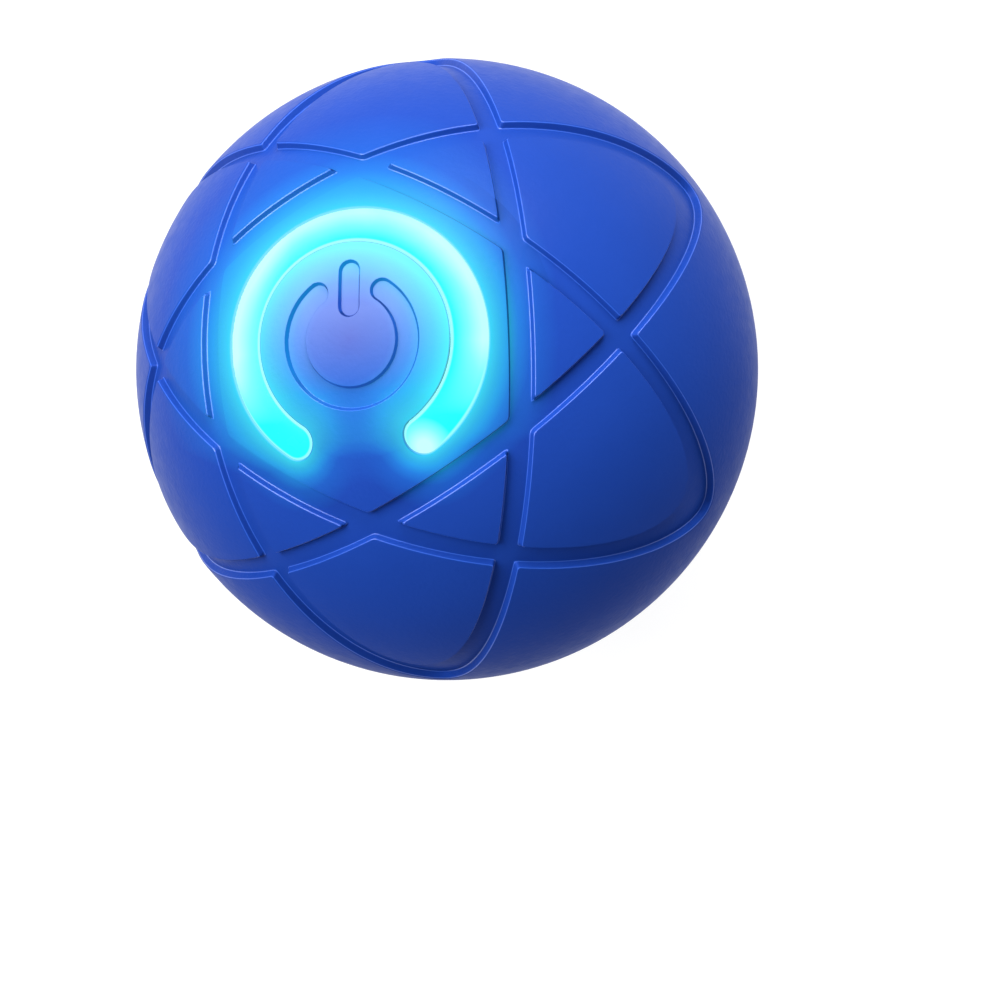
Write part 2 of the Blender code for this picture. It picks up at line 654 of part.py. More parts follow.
def light_ring():
    """The C-shaped light guide on its round flange, which seats under the upper shell."""
    profile = [(RING_INNER_RADIUS, FLANGE_TOP_Z), (FLANGE_RADIUS, FLANGE_TOP_Z),
               (FLANGE_RADIUS, FLANGE_BOTTOM_Z), (RING_INNER_RADIUS, FLANGE_BOTTOM_Z)]
    ring = turned("light_ring", profile, GLOW_CYAN, closed=True)
    band = c_band(RING_MID_RADIUS, RING_HALF_WIDTH, RING_GAP_HALF_DEG, -90.0)
    guide = flat("ring_band", [band], FLANGE_BOTTOM_Z + FLANGE_THICKNESS / 2.0,
                 BALL_RADIUS + CUT_OVERRUN, None)
    keep_inside(guide, cap("ring_dome", BALL_RADIUS, FLANGE_RADIUS, 0.0))
    return join(ring, guide)


def shell_profile(side):
    """The hard shell's section from the inner pole or opening to the outer one, above or below."""
    rim_radius = CAVITY_RADIUS - RIM_DEPTH
    taper_z = RIM_HEIGHT + RIM_TAPER
    taper_radius = math.sqrt(CAVITY_RADIUS ** 2 - taper_z ** 2)
    split_radius = math.sqrt(SHELL_RADIUS ** 2 - SPLIT_HALF_GAP ** 2)
    if side > 0.0:
        inner_start = FLANGE_SEAT_RADIUS
        outer_end = FRONT_HOLE_RADIUS
    else:
        inner_start = 0.0
        outer_end = 0.0
    inside = sphere_arc(CAVITY_RADIUS, inner_start, taper_radius, side)
    outside = sphere_arc(SHELL_RADIUS, split_radius, outer_end, side)
    rim = [(rim_radius, side * RIM_HEIGHT), (rim_radius, side * SPLIT_HALF_GAP)]
    return inside, rim, outside


def screw_bosses(name, circle_radius, count, first_deg, radius, low, high):
    """Posts that end inside the shell's wall."""
    posts = None
    for angle in around(count, first_deg):
        shape = rod(name, radius, low, high, None, on_circle(circle_radius, angle))
        if posts is None:
            posts = shape
        else:
            join(posts, shape)
    limit = ball(name + "_limit", SHELL_RADIUS - SHELL_WALL / 2.0, None, CAVITY_SEGMENTS)
    return keep_inside(posts, limit)


def drill(target, name, radius, low, high, places):
    for place_xy in places:
        cut(target, rod(name, radius, low, high, None, place_xy, segments=SCREW_SEGMENTS))


def shell_screw_places():
    return [on_circle(SHELL_SCREW_CIRCLE, angle)
            for angle in around(SHELL_SCREW_COUNT, SHELL_SCREW_AZIMUTH_DEG)]


def board_screw_places():
    return [on_circle(BOARD_SCREW_CIRCLE, angle)
            for angle in around(BOARD_SCREW_COUNT, BOARD_SCREW_AZIMUTH_DEG)]


def chassis_screw_places():
    return [on_circle(CHASSIS_SCREW_CIRCLE, angle) for angle in around(CHASSIS_SCREW_COUNT, 0.0)]


def upper_shell():
    inside, rim, outside = shell_profile(1.0)
    opening = [(FRONT_HOLE_RADIUS, FLANGE_SEAT_Z)]
    shell = turned("upper_shell", outside[::-1] + rim[::-1] + inside[::-1] + opening,
                   SHELL_GREY, closed=True)
    join(shell, screw_bosses("upper_boss", SHELL_SCREW_CIRCLE, SHELL_SCREW_COUNT,
                             SHELL_SCREW_AZIMUTH_DEG, SHELL_BOSS_RADIUS, SPLIT_HALF_GAP, SHELL_RADIUS))
    join(shell, screw_bosses("board_post", BOARD_SCREW_CIRCLE, BOARD_SCREW_COUNT,
                             BOARD_SCREW_AZIMUTH_DEG, BOARD_POST_RADIUS,
                             BOARD_TOP_Z + FIT_GAP, SHELL_RADIUS))
    drill(shell, "upper_pilot", SHELL_SCREW_SHANK_RADIUS + BORE_GAP, 0.0,
          SHELL_SCREW_REACH + FIT_GAP, shell_screw_places())
    drill(shell, "board_pilot", BOARD_SCREW_SHANK_RADIUS + BORE_GAP, BOARD_BOTTOM_Z,
          BOARD_BOTTOM_Z - FIT_GAP + BOARD_THICKNESS + BOARD_SCREW_GRIP, board_screw_places())
    return shell


def lower_shell():
    inside, rim, outside = shell_profile(-1.0)
    half_groove = SEAL_RADIUS + SEAL_SIDE_GAP
    groove_outer = SHELL_RADIUS - GROOVE_WALL
    groove_inner = groove_outer - 2.0 * half_groove
    floor_z = -SPLIT_HALF_GAP - 2.0 * SEAL_RADIUS - FIT_GAP
    groove = [(groove_inner, -SPLIT_HALF_GAP), (groove_inner, floor_z),
              (groove_outer, floor_z), (groove_outer, -SPLIT_HALF_GAP)]
    shell = turned("lower_shell", inside + rim + groove + outside, SHELL_GREY)
    join(shell, screw_bosses("lower_boss", SHELL_SCREW_CIRCLE, SHELL_SCREW_COUNT,
                             SHELL_SCREW_AZIMUTH_DEG, SHELL_BOSS_RADIUS, -SHELL_RADIUS, -SPLIT_HALF_GAP))
    join(shell, screw_bosses("chassis_post", CHASSIS_SCREW_CIRCLE, CHASSIS_SCREW_COUNT, 0.0,
                             CHASSIS_POST_RADIUS, -SHELL_RADIUS, FLOOR_BOTTOM_Z - FIT_GAP))
    for x in (-CHARGE_SCREW_X, CHARGE_SCREW_X):
        post = rod("charge_post", CHARGE_POST_RADIUS, PORT_FLOOR_Z + SHELL_WALL / 2.0,
                   CHARGE_BOARD_BOTTOM_Z - FIT_GAP, None, (x, 0.0))
        join(shell, post)
    places = shell_screw_places()
    drill(shell, "head_bore", SHELL_SCREW_HEAD_RADIUS + FIT_GAP, -BALL_RADIUS, SHELL_SCREW_SEAT_Z, places)
    drill(shell, "shank_bore", SHELL_SCREW_SHANK_RADIUS + BORE_GAP, -BALL_RADIUS, 0.0, places)
    drill(shell, "chassis_pilot", CHASSIS_SCREW_SHANK_RADIUS + BORE_GAP,
          FLOOR_TOP_Z - CHASSIS_SCREW_GRIP - FIT_GAP, 0.0, chassis_screw_places())
    drill(shell, "charge_pilot", CHARGE_SCREW_SHANK_RADIUS + BORE_GAP,
          CHARGE_BOARD_TOP_Z - CHARGE_SCREW_GRIP - FIT_GAP, 0.0,
          [(-CHARGE_SCREW_X, 0.0), (CHARGE_SCREW_X, 0.0)])
    cut(shell, flat("port_floor", [obround(PORT_LENGTH, PORT_WIDTH)], -BALL_RADIUS, PORT_FLOOR_Z, None))
    cut(shell, flat("socket_hole", [obround(SOCKET_WIDTH + 2.0 * FIT_GAP, SOCKET_HEIGHT + 2.0 * FIT_GAP)],
                    -BALL_RADIUS, CHARGE_BOARD_BOTTOM_Z, None))
    return shell


def seal_ring():
    shape_z = -SPLIT_HALF_GAP - SEAL_RADIUS
    middle = SHELL_RADIUS - GROOVE_WALL - SEAL_RADIUS - SEAL_SIDE_GAP
    bpy.ops.mesh.primitive_torus_add(major_radius=middle, minor_radius=SEAL_RADIUS,
                                     major_segments=TURN_SEGMENTS, minor_segments=SEAL_SEGMENTS)
    ring = bpy.context.object
    ring.name = "seal_ring"
    for holder in list(ring.users_collection):
        holder.objects.unlink(ring)
    return smooth(place(ring, SEAL_BLACK, (0.0, 0.0, shape_z)))


def shell_screws():
    for index, centre in enumerate(shell_screw_places()):
        seat = SHELL_SCREW_SEAT_Z - FIT_GAP
        screw("shell_screw_%d" % (index + 1), (*centre, seat), (0.0, 0.0, 1.0), SHELL_SCREW_HEAD_RADIUS,
              SHELL_SCREW_HEAD_HEIGHT, SHELL_SCREW_SHANK_RADIUS, SHELL_SCREW_REACH - seat)


def on_board(name, size, centre, finish, below=False, edge=EDGE_ROUND):
    """A component soldered on the top of the main board, or below it."""
    half_x = size[0] / 2.0
    half_y = size[1] / 2.0
    low = BOARD_TOP_Z + SOLDER_GAP
    if below:
        low = BOARD_BOTTOM_Z - SOLDER_GAP - size[2]
    return box(name, (centre[0] - half_x, centre[1] - half_y, low),
               (centre[0] + half_x, centre[1] + half_y, low + size[2]), finish, edge)


def main_board():
    """The round board under the light ring, its screws and its components."""
    board = rod("main_board", BOARD_RADIUS, BOARD_BOTTOM_Z, BOARD_TOP_Z, BOARD_GREEN,
                segments=TURN_SEGMENTS)
    drill(board, "board_hole", BOARD_SCREW_SHANK_RADIUS + BORE_GAP, BOARD_BOTTOM_Z - CUT_OVERRUN,
          BOARD_TOP_Z + CUT_OVERRUN, board_screw_places())
    for index, centre in enumerate(board_screw_places()):
        screw("board_screw_%d" % (index + 1), (*centre, BOARD_BOTTOM_Z - FIT_GAP), (0.0, 0.0, 1.0),
              BOARD_SCREW_HEAD_RADIUS, BOARD_SCREW_HEAD_HEIGHT, BOARD_SCREW_SHANK_RADIUS,
              BOARD_SCREW_GRIP + BOARD_THICKNESS)
    span = 360.0 - 2.0 * RING_GAP_HALF_DEG
    for index in range(LED_COUNT):
        angle = RING_GAP_HALF_DEG - 90.0 + span * index / (LED_COUNT - 1)
        lamp = on_board("led_%d" % (index + 1), LED_SIZE, (0.0, 0.0), LED_WHITE)
        x, y = on_circle(RING_MID_RADIUS, angle)
        lamp.location = (x, y, lamp.location.z)
        lamp.rotation_euler = (0.0, 0.0, math.radians(angle + 90.0))
    on_board("controller_chip", CHIP_SIZE, CHIP_PLACE, CHIP_BLACK, below=True)
    on_board("motion_sensor", SENSOR_SIZE, SENSOR_PLACE, CHIP_BLACK, below=True)
    on_board("battery_connector", BATTERY_PLUG_SIZE, (BATTERY_PLUG_X, 0.0), PLUG_WHITE, below=True)
    on_board("motor_connector", MOTOR_PLUG_SIZE, MOTOR_PLUG_PLACE, PLUG_WHITE, below=True)


def tact_switch():
    """The switch on the board under the button's stem; returns the plunger that moves with it."""
    body = on_board("switch_body", SWITCH_SIZE, (0.0, 0.0), CHIP_BLACK)
    bore_floor = PLUNGER_BOTTOM_Z - BUTTON_TRAVEL - BORE_GAP
    cut(body, rod("plunger_bore", PLUNGER_RADIUS + BORE_GAP, bore_floor, SWITCH_TOP_Z + CUT_OVERRUN, None))
    return rod("switch_plunger", PLUNGER_RADIUS, PLUNGER_BOTTOM_Z, PLUNGER_TOP_Z, STEEL)


def charge_parts():
    """The small board over the port, its socket and its screws."""
    length, width, thickness = CHARGE_BOARD_SIZE
    board = box("charge_board", (-length / 2.0, -width / 2.0, CHARGE_BOARD_BOTTOM_Z),
                (length / 2.0, width / 2.0, CHARGE_BOARD_TOP_Z), BOARD_GREEN)
    places = [(-CHARGE_SCREW_X, 0.0), (CHARGE_SCREW_X, 0.0)]
    drill(board, "charge_hole", CHARGE_SCREW_SHANK_RADIUS + BORE_GAP, CHARGE_BOARD_BOTTOM_Z - CUT_OVERRUN,
          CHARGE_BOARD_TOP_Z + CUT_OVERRUN, places)
    for index, centre in enumerate(places):
        screw("charge_screw_%d" % (index + 1), (*centre, CHARGE_BOARD_TOP_Z + FIT_GAP / 2.0),
              (0.0, 0.0, -1.0), CHARGE_SCREW_HEAD_RADIUS, CHARGE_SCREW_HEAD_HEIGHT,
              CHARGE_SCREW_SHANK_RADIUS, CHARGE_SCREW_GRIP)
    socket = flat("charge_socket", [obround(SOCKET_WIDTH, SOCKET_HEIGHT)], PORT_FLOOR_Z, SOCKET_TOP_Z, STEEL)
    mouth_floor = PORT_FLOOR_Z + SOCKET_MOUTH_DEPTH
    opening = obround(SOCKET_WIDTH - 2.0 * SOCKET_WALL, SOCKET_HEIGHT - 2.0 * SOCKET_WALL)
    mouth = flat("socket_mouth", [opening], PORT_FLOOR_Z - CUT_OVERRUN, mouth_floor, None)
    half = SOCKET_TONGUE_WIDTH / 2.0
    rib = SOCKET_TONGUE_THICKNESS / 2.0
    tongue = box("socket_tongue", (-half, -rib, PORT_FLOOR_Z + FIT_GAP),
                 (half, rib, mouth_floor + CUT_OVERRUN / 2.0), None)
    cut(socket, mouth)
    join(socket, tongue)


def port_plug(hinge):
    """The soft stopper over the port, flush with the ball, on its short tether."""
    low = -(BALL_RADIUS + CUT_OVERRUN)
    flap = flat("port_plug", [obround(FLAP_LENGTH, FLAP_WIDTH)], low, LEDGE_Z - FIT_GAP / 2.0, SKIN_BLUE)
    half = TETHER_WIDTH / 2.0
    join(flap, box("tether", (HINGE_X, -half, low), (0.0, half, HINGE_Z + KNUCKLE_RADIUS - FIT_GAP / 2.0),
                   None))
    limit = ball("plug_limit", BALL_RADIUS, None)
    limit.rotation_euler = (math.pi / 2.0, 0.0, 0.0)
    keep_inside(flap, limit)
    trim = box("tether_trim", (TETHER_END_X - CUT_OVERRUN, -FLAP_WIDTH, low),
               (HINGE_X + SOLDER_GAP, FLAP_WIDTH, 0.0), None)
    cut(flap, trim)
    knuckle = rod("knuckle", KNUCKLE_RADIUS - HINGE_PLAY, -half, half, None)
    knuckle.rotation_euler = (math.pi / 2.0, 0.0, 0.0)
    knuckle.location = (HINGE_X, 0.0, HINGE_Z - HINGE_PLAY)
    join(flap, knuckle)
    inset = 2.0 * (FIT_GAP + STUB_INSET)
    join(flap, flat("stub", [obround(PORT_LENGTH - inset, PORT_WIDTH - inset)],
                    LEDGE_Z - CUT_OVERRUN, LEDGE_Z + STUB_DEPTH, None))
    hang_on(hinge, flap)
    return flap


def gearbox_screw_places():
    """Screw centres as y and z, just outside the output gear and the idler."""
    tip = GEAR_MODULE * ADDENDUM_SHARE + PILLAR_RADIUS + FIT_GAP
    by_output = GEAR_MODULE * OUTPUT_TEETH / 2.0 + tip
    by_idler = GEAR_MODULE * IDLER_LARGE_TEETH / 2.0 + tip
    return ([on_circle(by_output, angle, MAIN_CENTRE) for angle in OUTPUT_SCREWS_DEG]
            + [on_circle(by_idler, angle, IDLER_CENTRE) for angle in IDLER_SCREWS_DEG])


def drive_chassis():
    """Floor, gearbox plate, motor saddle and battery pocket in one moulding."""
    chassis = rod("drive_chassis", FLOOR_RADIUS, FLOOR_BOTTOM_Z, FLOOR_TOP_Z, CHASSIS_BLACK,
                  segments=TURN_SEGMENTS)
    drill(chassis, "chassis_hole", CHASSIS_SCREW_SHANK_RADIUS + BORE_GAP, FLOOR_BOTTOM_Z - CUT_OVERRUN,
          FLOOR_TOP_Z + CUT_OVERRUN, chassis_screw_places())
    drill(chassis, "lead_hole", LEAD_HOLE_RADIUS, FLOOR_BOTTOM_Z - CUT_OVERRUN,
          FLOOR_TOP_Z + CUT_OVERRUN, [LEAD_HOLE_PLACE])
    sunk = FLOOR_TOP_Z - FLOOR_THICKNESS / 2.0
    screws = gearbox_screw_places()
    around_screws = [(PILLAR_RADIUS + PLATE_MARGIN, centre) for centre in screws]
    foot_z = sunk + PLATE_MARGIN
    foot = [(PLATE_MARGIN, (screws[1][0], foot_z)),
            (PLATE_MARGIN, (screws[2][0] + PLATE_THICKNESS + 2.0 * PLATE_MARGIN, foot_z))]
    outline = hull(around_screws + foot + [(MOTOR_RADIUS, MOTOR_CENTRE)])
    holes = [circle(BUSH_RADIUS + BORE_GAP, MAIN_CENTRE), circle(IDLER_PIN_RADIUS + BORE_GAP, IDLER_CENTRE),
             circle(MOTOR_BOSS_RADIUS + FIT_GAP, MOTOR_CENTRE)]
    holes += [circle(GEARBOX_SCREW_RADIUS + BORE_GAP, centre, SCREW_SEGMENTS) for centre in screws]
    join(chassis, flat("gearbox_plate", [outline] + holes, PLATE_X, GEARBOX_START_X, None, along_x=True))
    saddle = box("motor_saddle", (SADDLE_X - SADDLE_THICKNESS / 2.0, MOTOR_Y - SADDLE_HALF_WIDTH, sunk),
                 (SADDLE_X + SADDLE_THICKNESS / 2.0, MOTOR_Y + SADDLE_HALF_WIDTH,
                  MOTOR_Z - MOTOR_RADIUS + SADDLE_RISE), None)
    cut(saddle, rod("saddle_bed", MOTOR_RADIUS + FIT_GAP, MOTOR_BACK_X, MOTOR_FRONT_X, None, MOTOR_CENTRE,
                    along_x=True, segments=TURN_SEGMENTS))
    join(chassis, saddle)
    half_y = POCKET_HALF_Y - POCKET_WALL
    half_z = POCKET_HALF_Z - POCKET_WALL
    pocket = box("pocket", (WALL_X, -POCKET_HALF_Y, -POCKET_HALF_Z),
                 (POCKET_END_X, POCKET_HALF_Y, POCKET_HALF_Z), None)
    inner = box("pocket_inner", (WALL_END_X, -half_y, -half_z),
                (POCKET_END_X + CUT_OVERRUN, half_y, POCKET_HALF_Z + CUT_OVERRUN), None)
    cut(pocket, inner)
    post = box("pocket_foot", (WALL_X + SOLDER_GAP, -half_y, sunk), (WALL_END_X - SOLDER_GAP, half_y, 0.0),
               None)
    join(pocket, post)
    keep_inside(pocket, ball("pocket_limit", CAVITY_RADIUS - FIT_GAP, None, CAVITY_SEGMENTS))
    cut(pocket, rod("end_bore", BUSH_RADIUS + BORE_GAP, WALL_X - CUT_OVERRUN, WALL_END_X + CUT_OVERRUN,
                    None, MAIN_CENTRE, along_x=True))
    join(chassis, pocket)
    for index, centre in enumerate(chassis_screw_places()):
        screw("chassis_screw_%d" % (index + 1), (*centre, FLOOR_TOP_Z + FIT_GAP), (0.0, 0.0, -1.0),
              CHASSIS_SCREW_HEAD_RADIUS, CHASSIS_SCREW_HEAD_HEIGHT, CHASSIS_SCREW_SHANK_RADIUS,
              CHASSIS_SCREW_GRIP + FIT_GAP)
    return chassis


def gearbox_cover():
    """The plate over the gears, with a pillar at each screw that reaches to the other plate."""
    screws = gearbox_screw_places()
    outline = hull([(PILLAR_RADIUS + PLATE_MARGIN, centre) for centre in screws])
    holes = [circle(BUSH_RADIUS + BORE_GAP, MAIN_CENTRE), circle(IDLER_PIN_RADIUS + BORE_GAP, IDLER_CENTRE)]
    cover = flat("gearbox_cover", [outline] + holes, COVER_X, COVER_END_X, CHASSIS_BLACK, along_x=True)
    for index, centre in enumerate(screws):
        join(cover, rod("pillar", PILLAR_RADIUS, GEARBOX_START_X + FIT_GAP,
                        COVER_X + PLATE_THICKNESS / 2.0, None, centre, along_x=True))
        cut(cover, rod("pillar_bore", GEARBOX_SCREW_RADIUS + BORE_GAP, GEARBOX_START_X,
                       COVER_X + PLATE_THICKNESS / 4.0, None, centre, along_x=True,
                       segments=SCREW_SEGMENTS))
        screw("gearbox_screw_%d" % (index + 1), (PLATE_X - FIT_GAP, *centre), (1.0, 0.0, 0.0),
              GEARBOX_SCREW_HEAD_RADIUS, GEARBOX_SCREW_HEAD_HEIGHT, GEARBOX_SCREW_RADIUS,
              GEARBOX_SCREW_GRIP + PLATE_THICKNESS)
    return cover


def involute(angle):
    return math.tan(angle) - angle


def gear_outline(teeth, tooth_deg):
    """A spur gear's outline with a tooth centred at tooth_deg: root, pitch and tip on each flank."""
    pitch = GEAR_MODULE * teeth / 2.0
    pressure = math.radians(PRESSURE_ANGLE_DEG)
    base = pitch * math.cos(pressure)
    radii = (pitch - GEAR_MODULE * DEDENDUM_SHARE, pitch, pitch + GEAR_MODULE * ADDENDUM_SHARE)
    centre_half = math.pi / (2 * teeth) - BACKLASH / (2.0 * pitch) + involute(pressure)
    halves = [math.degrees(centre_half - involute(math.acos(min(1.0, base / radius)))) for radius in radii]
    points = []
    for tooth in around(teeth, tooth_deg):
        points += [on_circle(radius, tooth - half) for radius, half in zip(radii, halves)]
        points += [on_circle(radius, tooth + half) for radius, half in zip(radii[::-1], halves[::-1])]
    return points


def half_pitch_deg(teeth):
    return 180.0 / teeth


def idler_train(spin):
    """The compound idler: a large gear driven by the pinion and a small one that drives the output."""
    # A gap of the large gear faces the motor and a gap of the small one faces the axle
    large_phase = MOTOR_ANGLE_DEG + half_pitch_deg(IDLER_LARGE_TEETH)
    small_phase = half_pitch_deg(IDLER_SMALL_TEETH)
    idler = flat("idler_gear", [gear_outline(IDLER_LARGE_TEETH, large_phase)], LAYER_ONE_X,
                 LAYER_ONE_X + GEAR_WIDTH, GEAR_IVORY, IDLER_CENTRE, along_x=True)
    join(idler, flat("idler_small", [gear_outline(IDLER_SMALL_TEETH, small_phase)],
                     LAYER_ONE_X + GEAR_WIDTH / 2.0, LAYER_TWO_X + GEAR_WIDTH, None, IDLER_CENTRE,
                     along_x=True))
    cut(idler, rod("idler_bore", IDLER_PIN_RADIUS + BORE_GAP, PLATE_X, COVER_END_X, None, IDLER_CENTRE,
                   along_x=True))
    hang_on(spin, idler)
    rod("idler_pin", IDLER_PIN_RADIUS, PLATE_X + BORE_GAP, COVER_END_X - BORE_GAP, STEEL, IDLER_CENTRE,
        along_x=True)


def drive_train(spin):
    """The output gear, axle and eccentric weight that turn together, and their three bushes."""
    # A tooth of the output gear faces the idler, which lies towards -Y
    gear = flat("output_gear", [gear_outline(OUTPUT_TEETH, 180.0), circle(AXLE_RADIUS + BORE_GAP)],
                LAYER_TWO_X, LAYER_TWO_X + GEAR_WIDTH, GEAR_IVORY, along_x=True)
    axle = rod("drive_axle", AXLE_RADIUS, PLATE_X + BORE_GAP, WALL_END_X - BORE_GAP, STEEL, along_x=True)
    start = -90.0 - WEIGHT_HALF_SPAN_DEG
    end = -90.0 + WEIGHT_HALF_SPAN_DEG
    outline = arc(WEIGHT_RADIUS, start, end, steps=3 * ARC_STEPS)
    outline += arc(WEIGHT_HUB_RADIUS, end, start + 360.0)
    weight = flat("eccentric_weight", [outline, circle(AXLE_RADIUS + BORE_GAP)], WEIGHT_X, WEIGHT_END_X,
                  STEEL, along_x=True)
    hang_on(spin, gear, axle, weight)
    bush("axle_bush_inner", PLATE_X, GEARBOX_START_X, 0)
    bush("axle_bush_middle", COVER_X, COVER_END_X, 1)
    bush("axle_bush_outer", WALL_X, WALL_END_X, -1)


def bush(name, low, high, flange_side):
    """A bush through a plate, with a flange beyond its high end (1), its low end (-1) or none (0)."""
    bore = AXLE_RADIUS + BUSH_RUNNING_GAP
    wide = BUSH_RADIUS + BUSH_FLANGE_REACH
    reach = BUSH_FLANGE_THICKNESS + SOLDER_GAP
    if flange_side == 1:
        profile = [(bore, high + reach), (wide, high + reach), (wide, high + SOLDER_GAP),
                   (BUSH_RADIUS, high + SOLDER_GAP), (BUSH_RADIUS, low), (bore, low)]
    elif flange_side == -1:
        profile = [(bore, high), (BUSH_RADIUS, high), (BUSH_RADIUS, low - SOLDER_GAP),
                   (wide, low - SOLDER_GAP), (wide, low - reach), (bore, low - reach)]
    else:
        profile = [(bore, high), (BUSH_RADIUS, high), (BUSH_RADIUS, low), (bore, low)]
    return turned(name, profile, BRASS, along_x=True, closed=True, segments=SMALL_SEGMENTS)


def motor(spin):
    """The can, end cap and terminals stay; the armature, shaft and pinion spin."""
    bore = SHAFT_RADIUS + BUSH_RUNNING_GAP
    inner = MOTOR_RADIUS - MOTOR_WALL
    front = MOTOR_FRONT_X
    profile = [(bore, front + MOTOR_BOSS_LENGTH), (MOTOR_BOSS_RADIUS, front + MOTOR_BOSS_LENGTH),
               (MOTOR_BOSS_RADIUS, front), (MOTOR_RADIUS, front), (MOTOR_RADIUS, MOTOR_CAP_X),
               (inner, MOTOR_CAP_X), (inner, front - MOTOR_WALL), (bore, front - MOTOR_WALL)]
    centre = (0.0, MOTOR_Y, MOTOR_Z)
    turned("motor_can", profile, STEEL, centre, along_x=True, closed=True, segments=SMALL_SEGMENTS * 2)
    step = MOTOR_CAP_X - FIT_GAP
    cap_profile = [(0.0, MOTOR_CAP_X + MOTOR_WALL), (inner - FIT_GAP, MOTOR_CAP_X + MOTOR_WALL),
                   (inner - FIT_GAP, step), (MOTOR_RADIUS, step), (MOTOR_RADIUS, MOTOR_BACK_X),
                   (0.0, MOTOR_BACK_X)]
    end_cap = turned("motor_end_cap", cap_profile, CHIP_BLACK, centre, along_x=True,
                     segments=SMALL_SEGMENTS * 2)
    length, width, height = TERMINAL_SIZE
    for side in (-1.0, 1.0):
        y = MOTOR_Y + side * TERMINAL_SPREAD
        join(end_cap, box("terminal", (MOTOR_BACK_X - length, y - width / 2.0, MOTOR_Z - height / 2.0),
                          (MOTOR_BACK_X + length, y + width / 2.0, MOTOR_Z + height / 2.0), None))
    armature_low = MOTOR_CAP_X + MOTOR_WALL + ARMATURE_END_GAP
    shaft_low = MOTOR_CAP_X + MOTOR_WALL + FIT_GAP
    ring = [(SHAFT_RADIUS + BORE_GAP, armature_low + ARMATURE_LENGTH),
            (ARMATURE_RADIUS, armature_low + ARMATURE_LENGTH), (ARMATURE_RADIUS, armature_low),
            (SHAFT_RADIUS + BORE_GAP, armature_low)]
    armature = turned("motor_armature", ring, COPPER, centre, along_x=True, closed=True,
                      segments=SMALL_SEGMENTS)
    shaft = rod("motor_shaft", SHAFT_RADIUS, shaft_low, LAYER_ONE_X + GEAR_WIDTH, STEEL, MOTOR_CENTRE,
                along_x=True)
    # A tooth of the pinion faces the idler
    pinion = flat("motor_pinion", [gear_outline(PINION_TEETH, MOTOR_ANGLE_DEG + 180.0),
                                   circle(SHAFT_RADIUS + BORE_GAP)], LAYER_ONE_X,
                  LAYER_ONE_X + GEAR_WIDTH, BRASS, MOTOR_CENTRE, along_x=True)
    hang_on(spin, armature, shaft, pinion)


def battery():
    half_y = BATTERY_SIZE[1] / 2.0
    half_z = BATTERY_SIZE[2] / 2.0
    box("battery", (BATTERY_X, -half_y, -half_z), (BATTERY_X + BATTERY_SIZE[0], half_y, half_z),
        CELL_SILVER, BATTERY_ROUND)
    pad_x = WALL_END_X + FIT_GAP
    box("battery_pad", (pad_x, -half_y, -half_z), (pad_x + PAD_THICKNESS, half_y, half_z), FOAM_GREY)


def curve_through(points, finish, name):
    """A lead along a smooth curve through these points."""
    ends = [2 * Vector(points[0]) - Vector(points[1])]
    route = ends + [Vector(point) for point in points] + [2 * Vector(points[-1]) - Vector(points[-2])]
    path = []
    for a, b, c, d in zip(route, route[1:], route[2:], route[3:]):
        count = max(2, round((c - b).length / LEAD_PITCH))
        for step in range(count):
            t = step / count
            path.append(0.5 * ((2 * b) + (c - a) * t + (2 * a - 5 * b + 4 * c - d) * t * t
                               + (3 * b - a - 3 * c + d) * t * t * t))
    path.append(route[-2])
    curve = bpy.data.curves.new(name, "CURVE")
    curve.dimensions = "3D"
    curve.bevel_depth = LEAD_RADIUS
    curve.bevel_resolution = 2
    curve.use_fill_caps = True
    spline = curve.splines.new("POLY")
    spline.points.add(len(path) - 1)
    for point, co in zip(spline.points, path):
        point.co = (*co, 1.0)
    return place(bpy.data.objects.new(name, curve), finish)


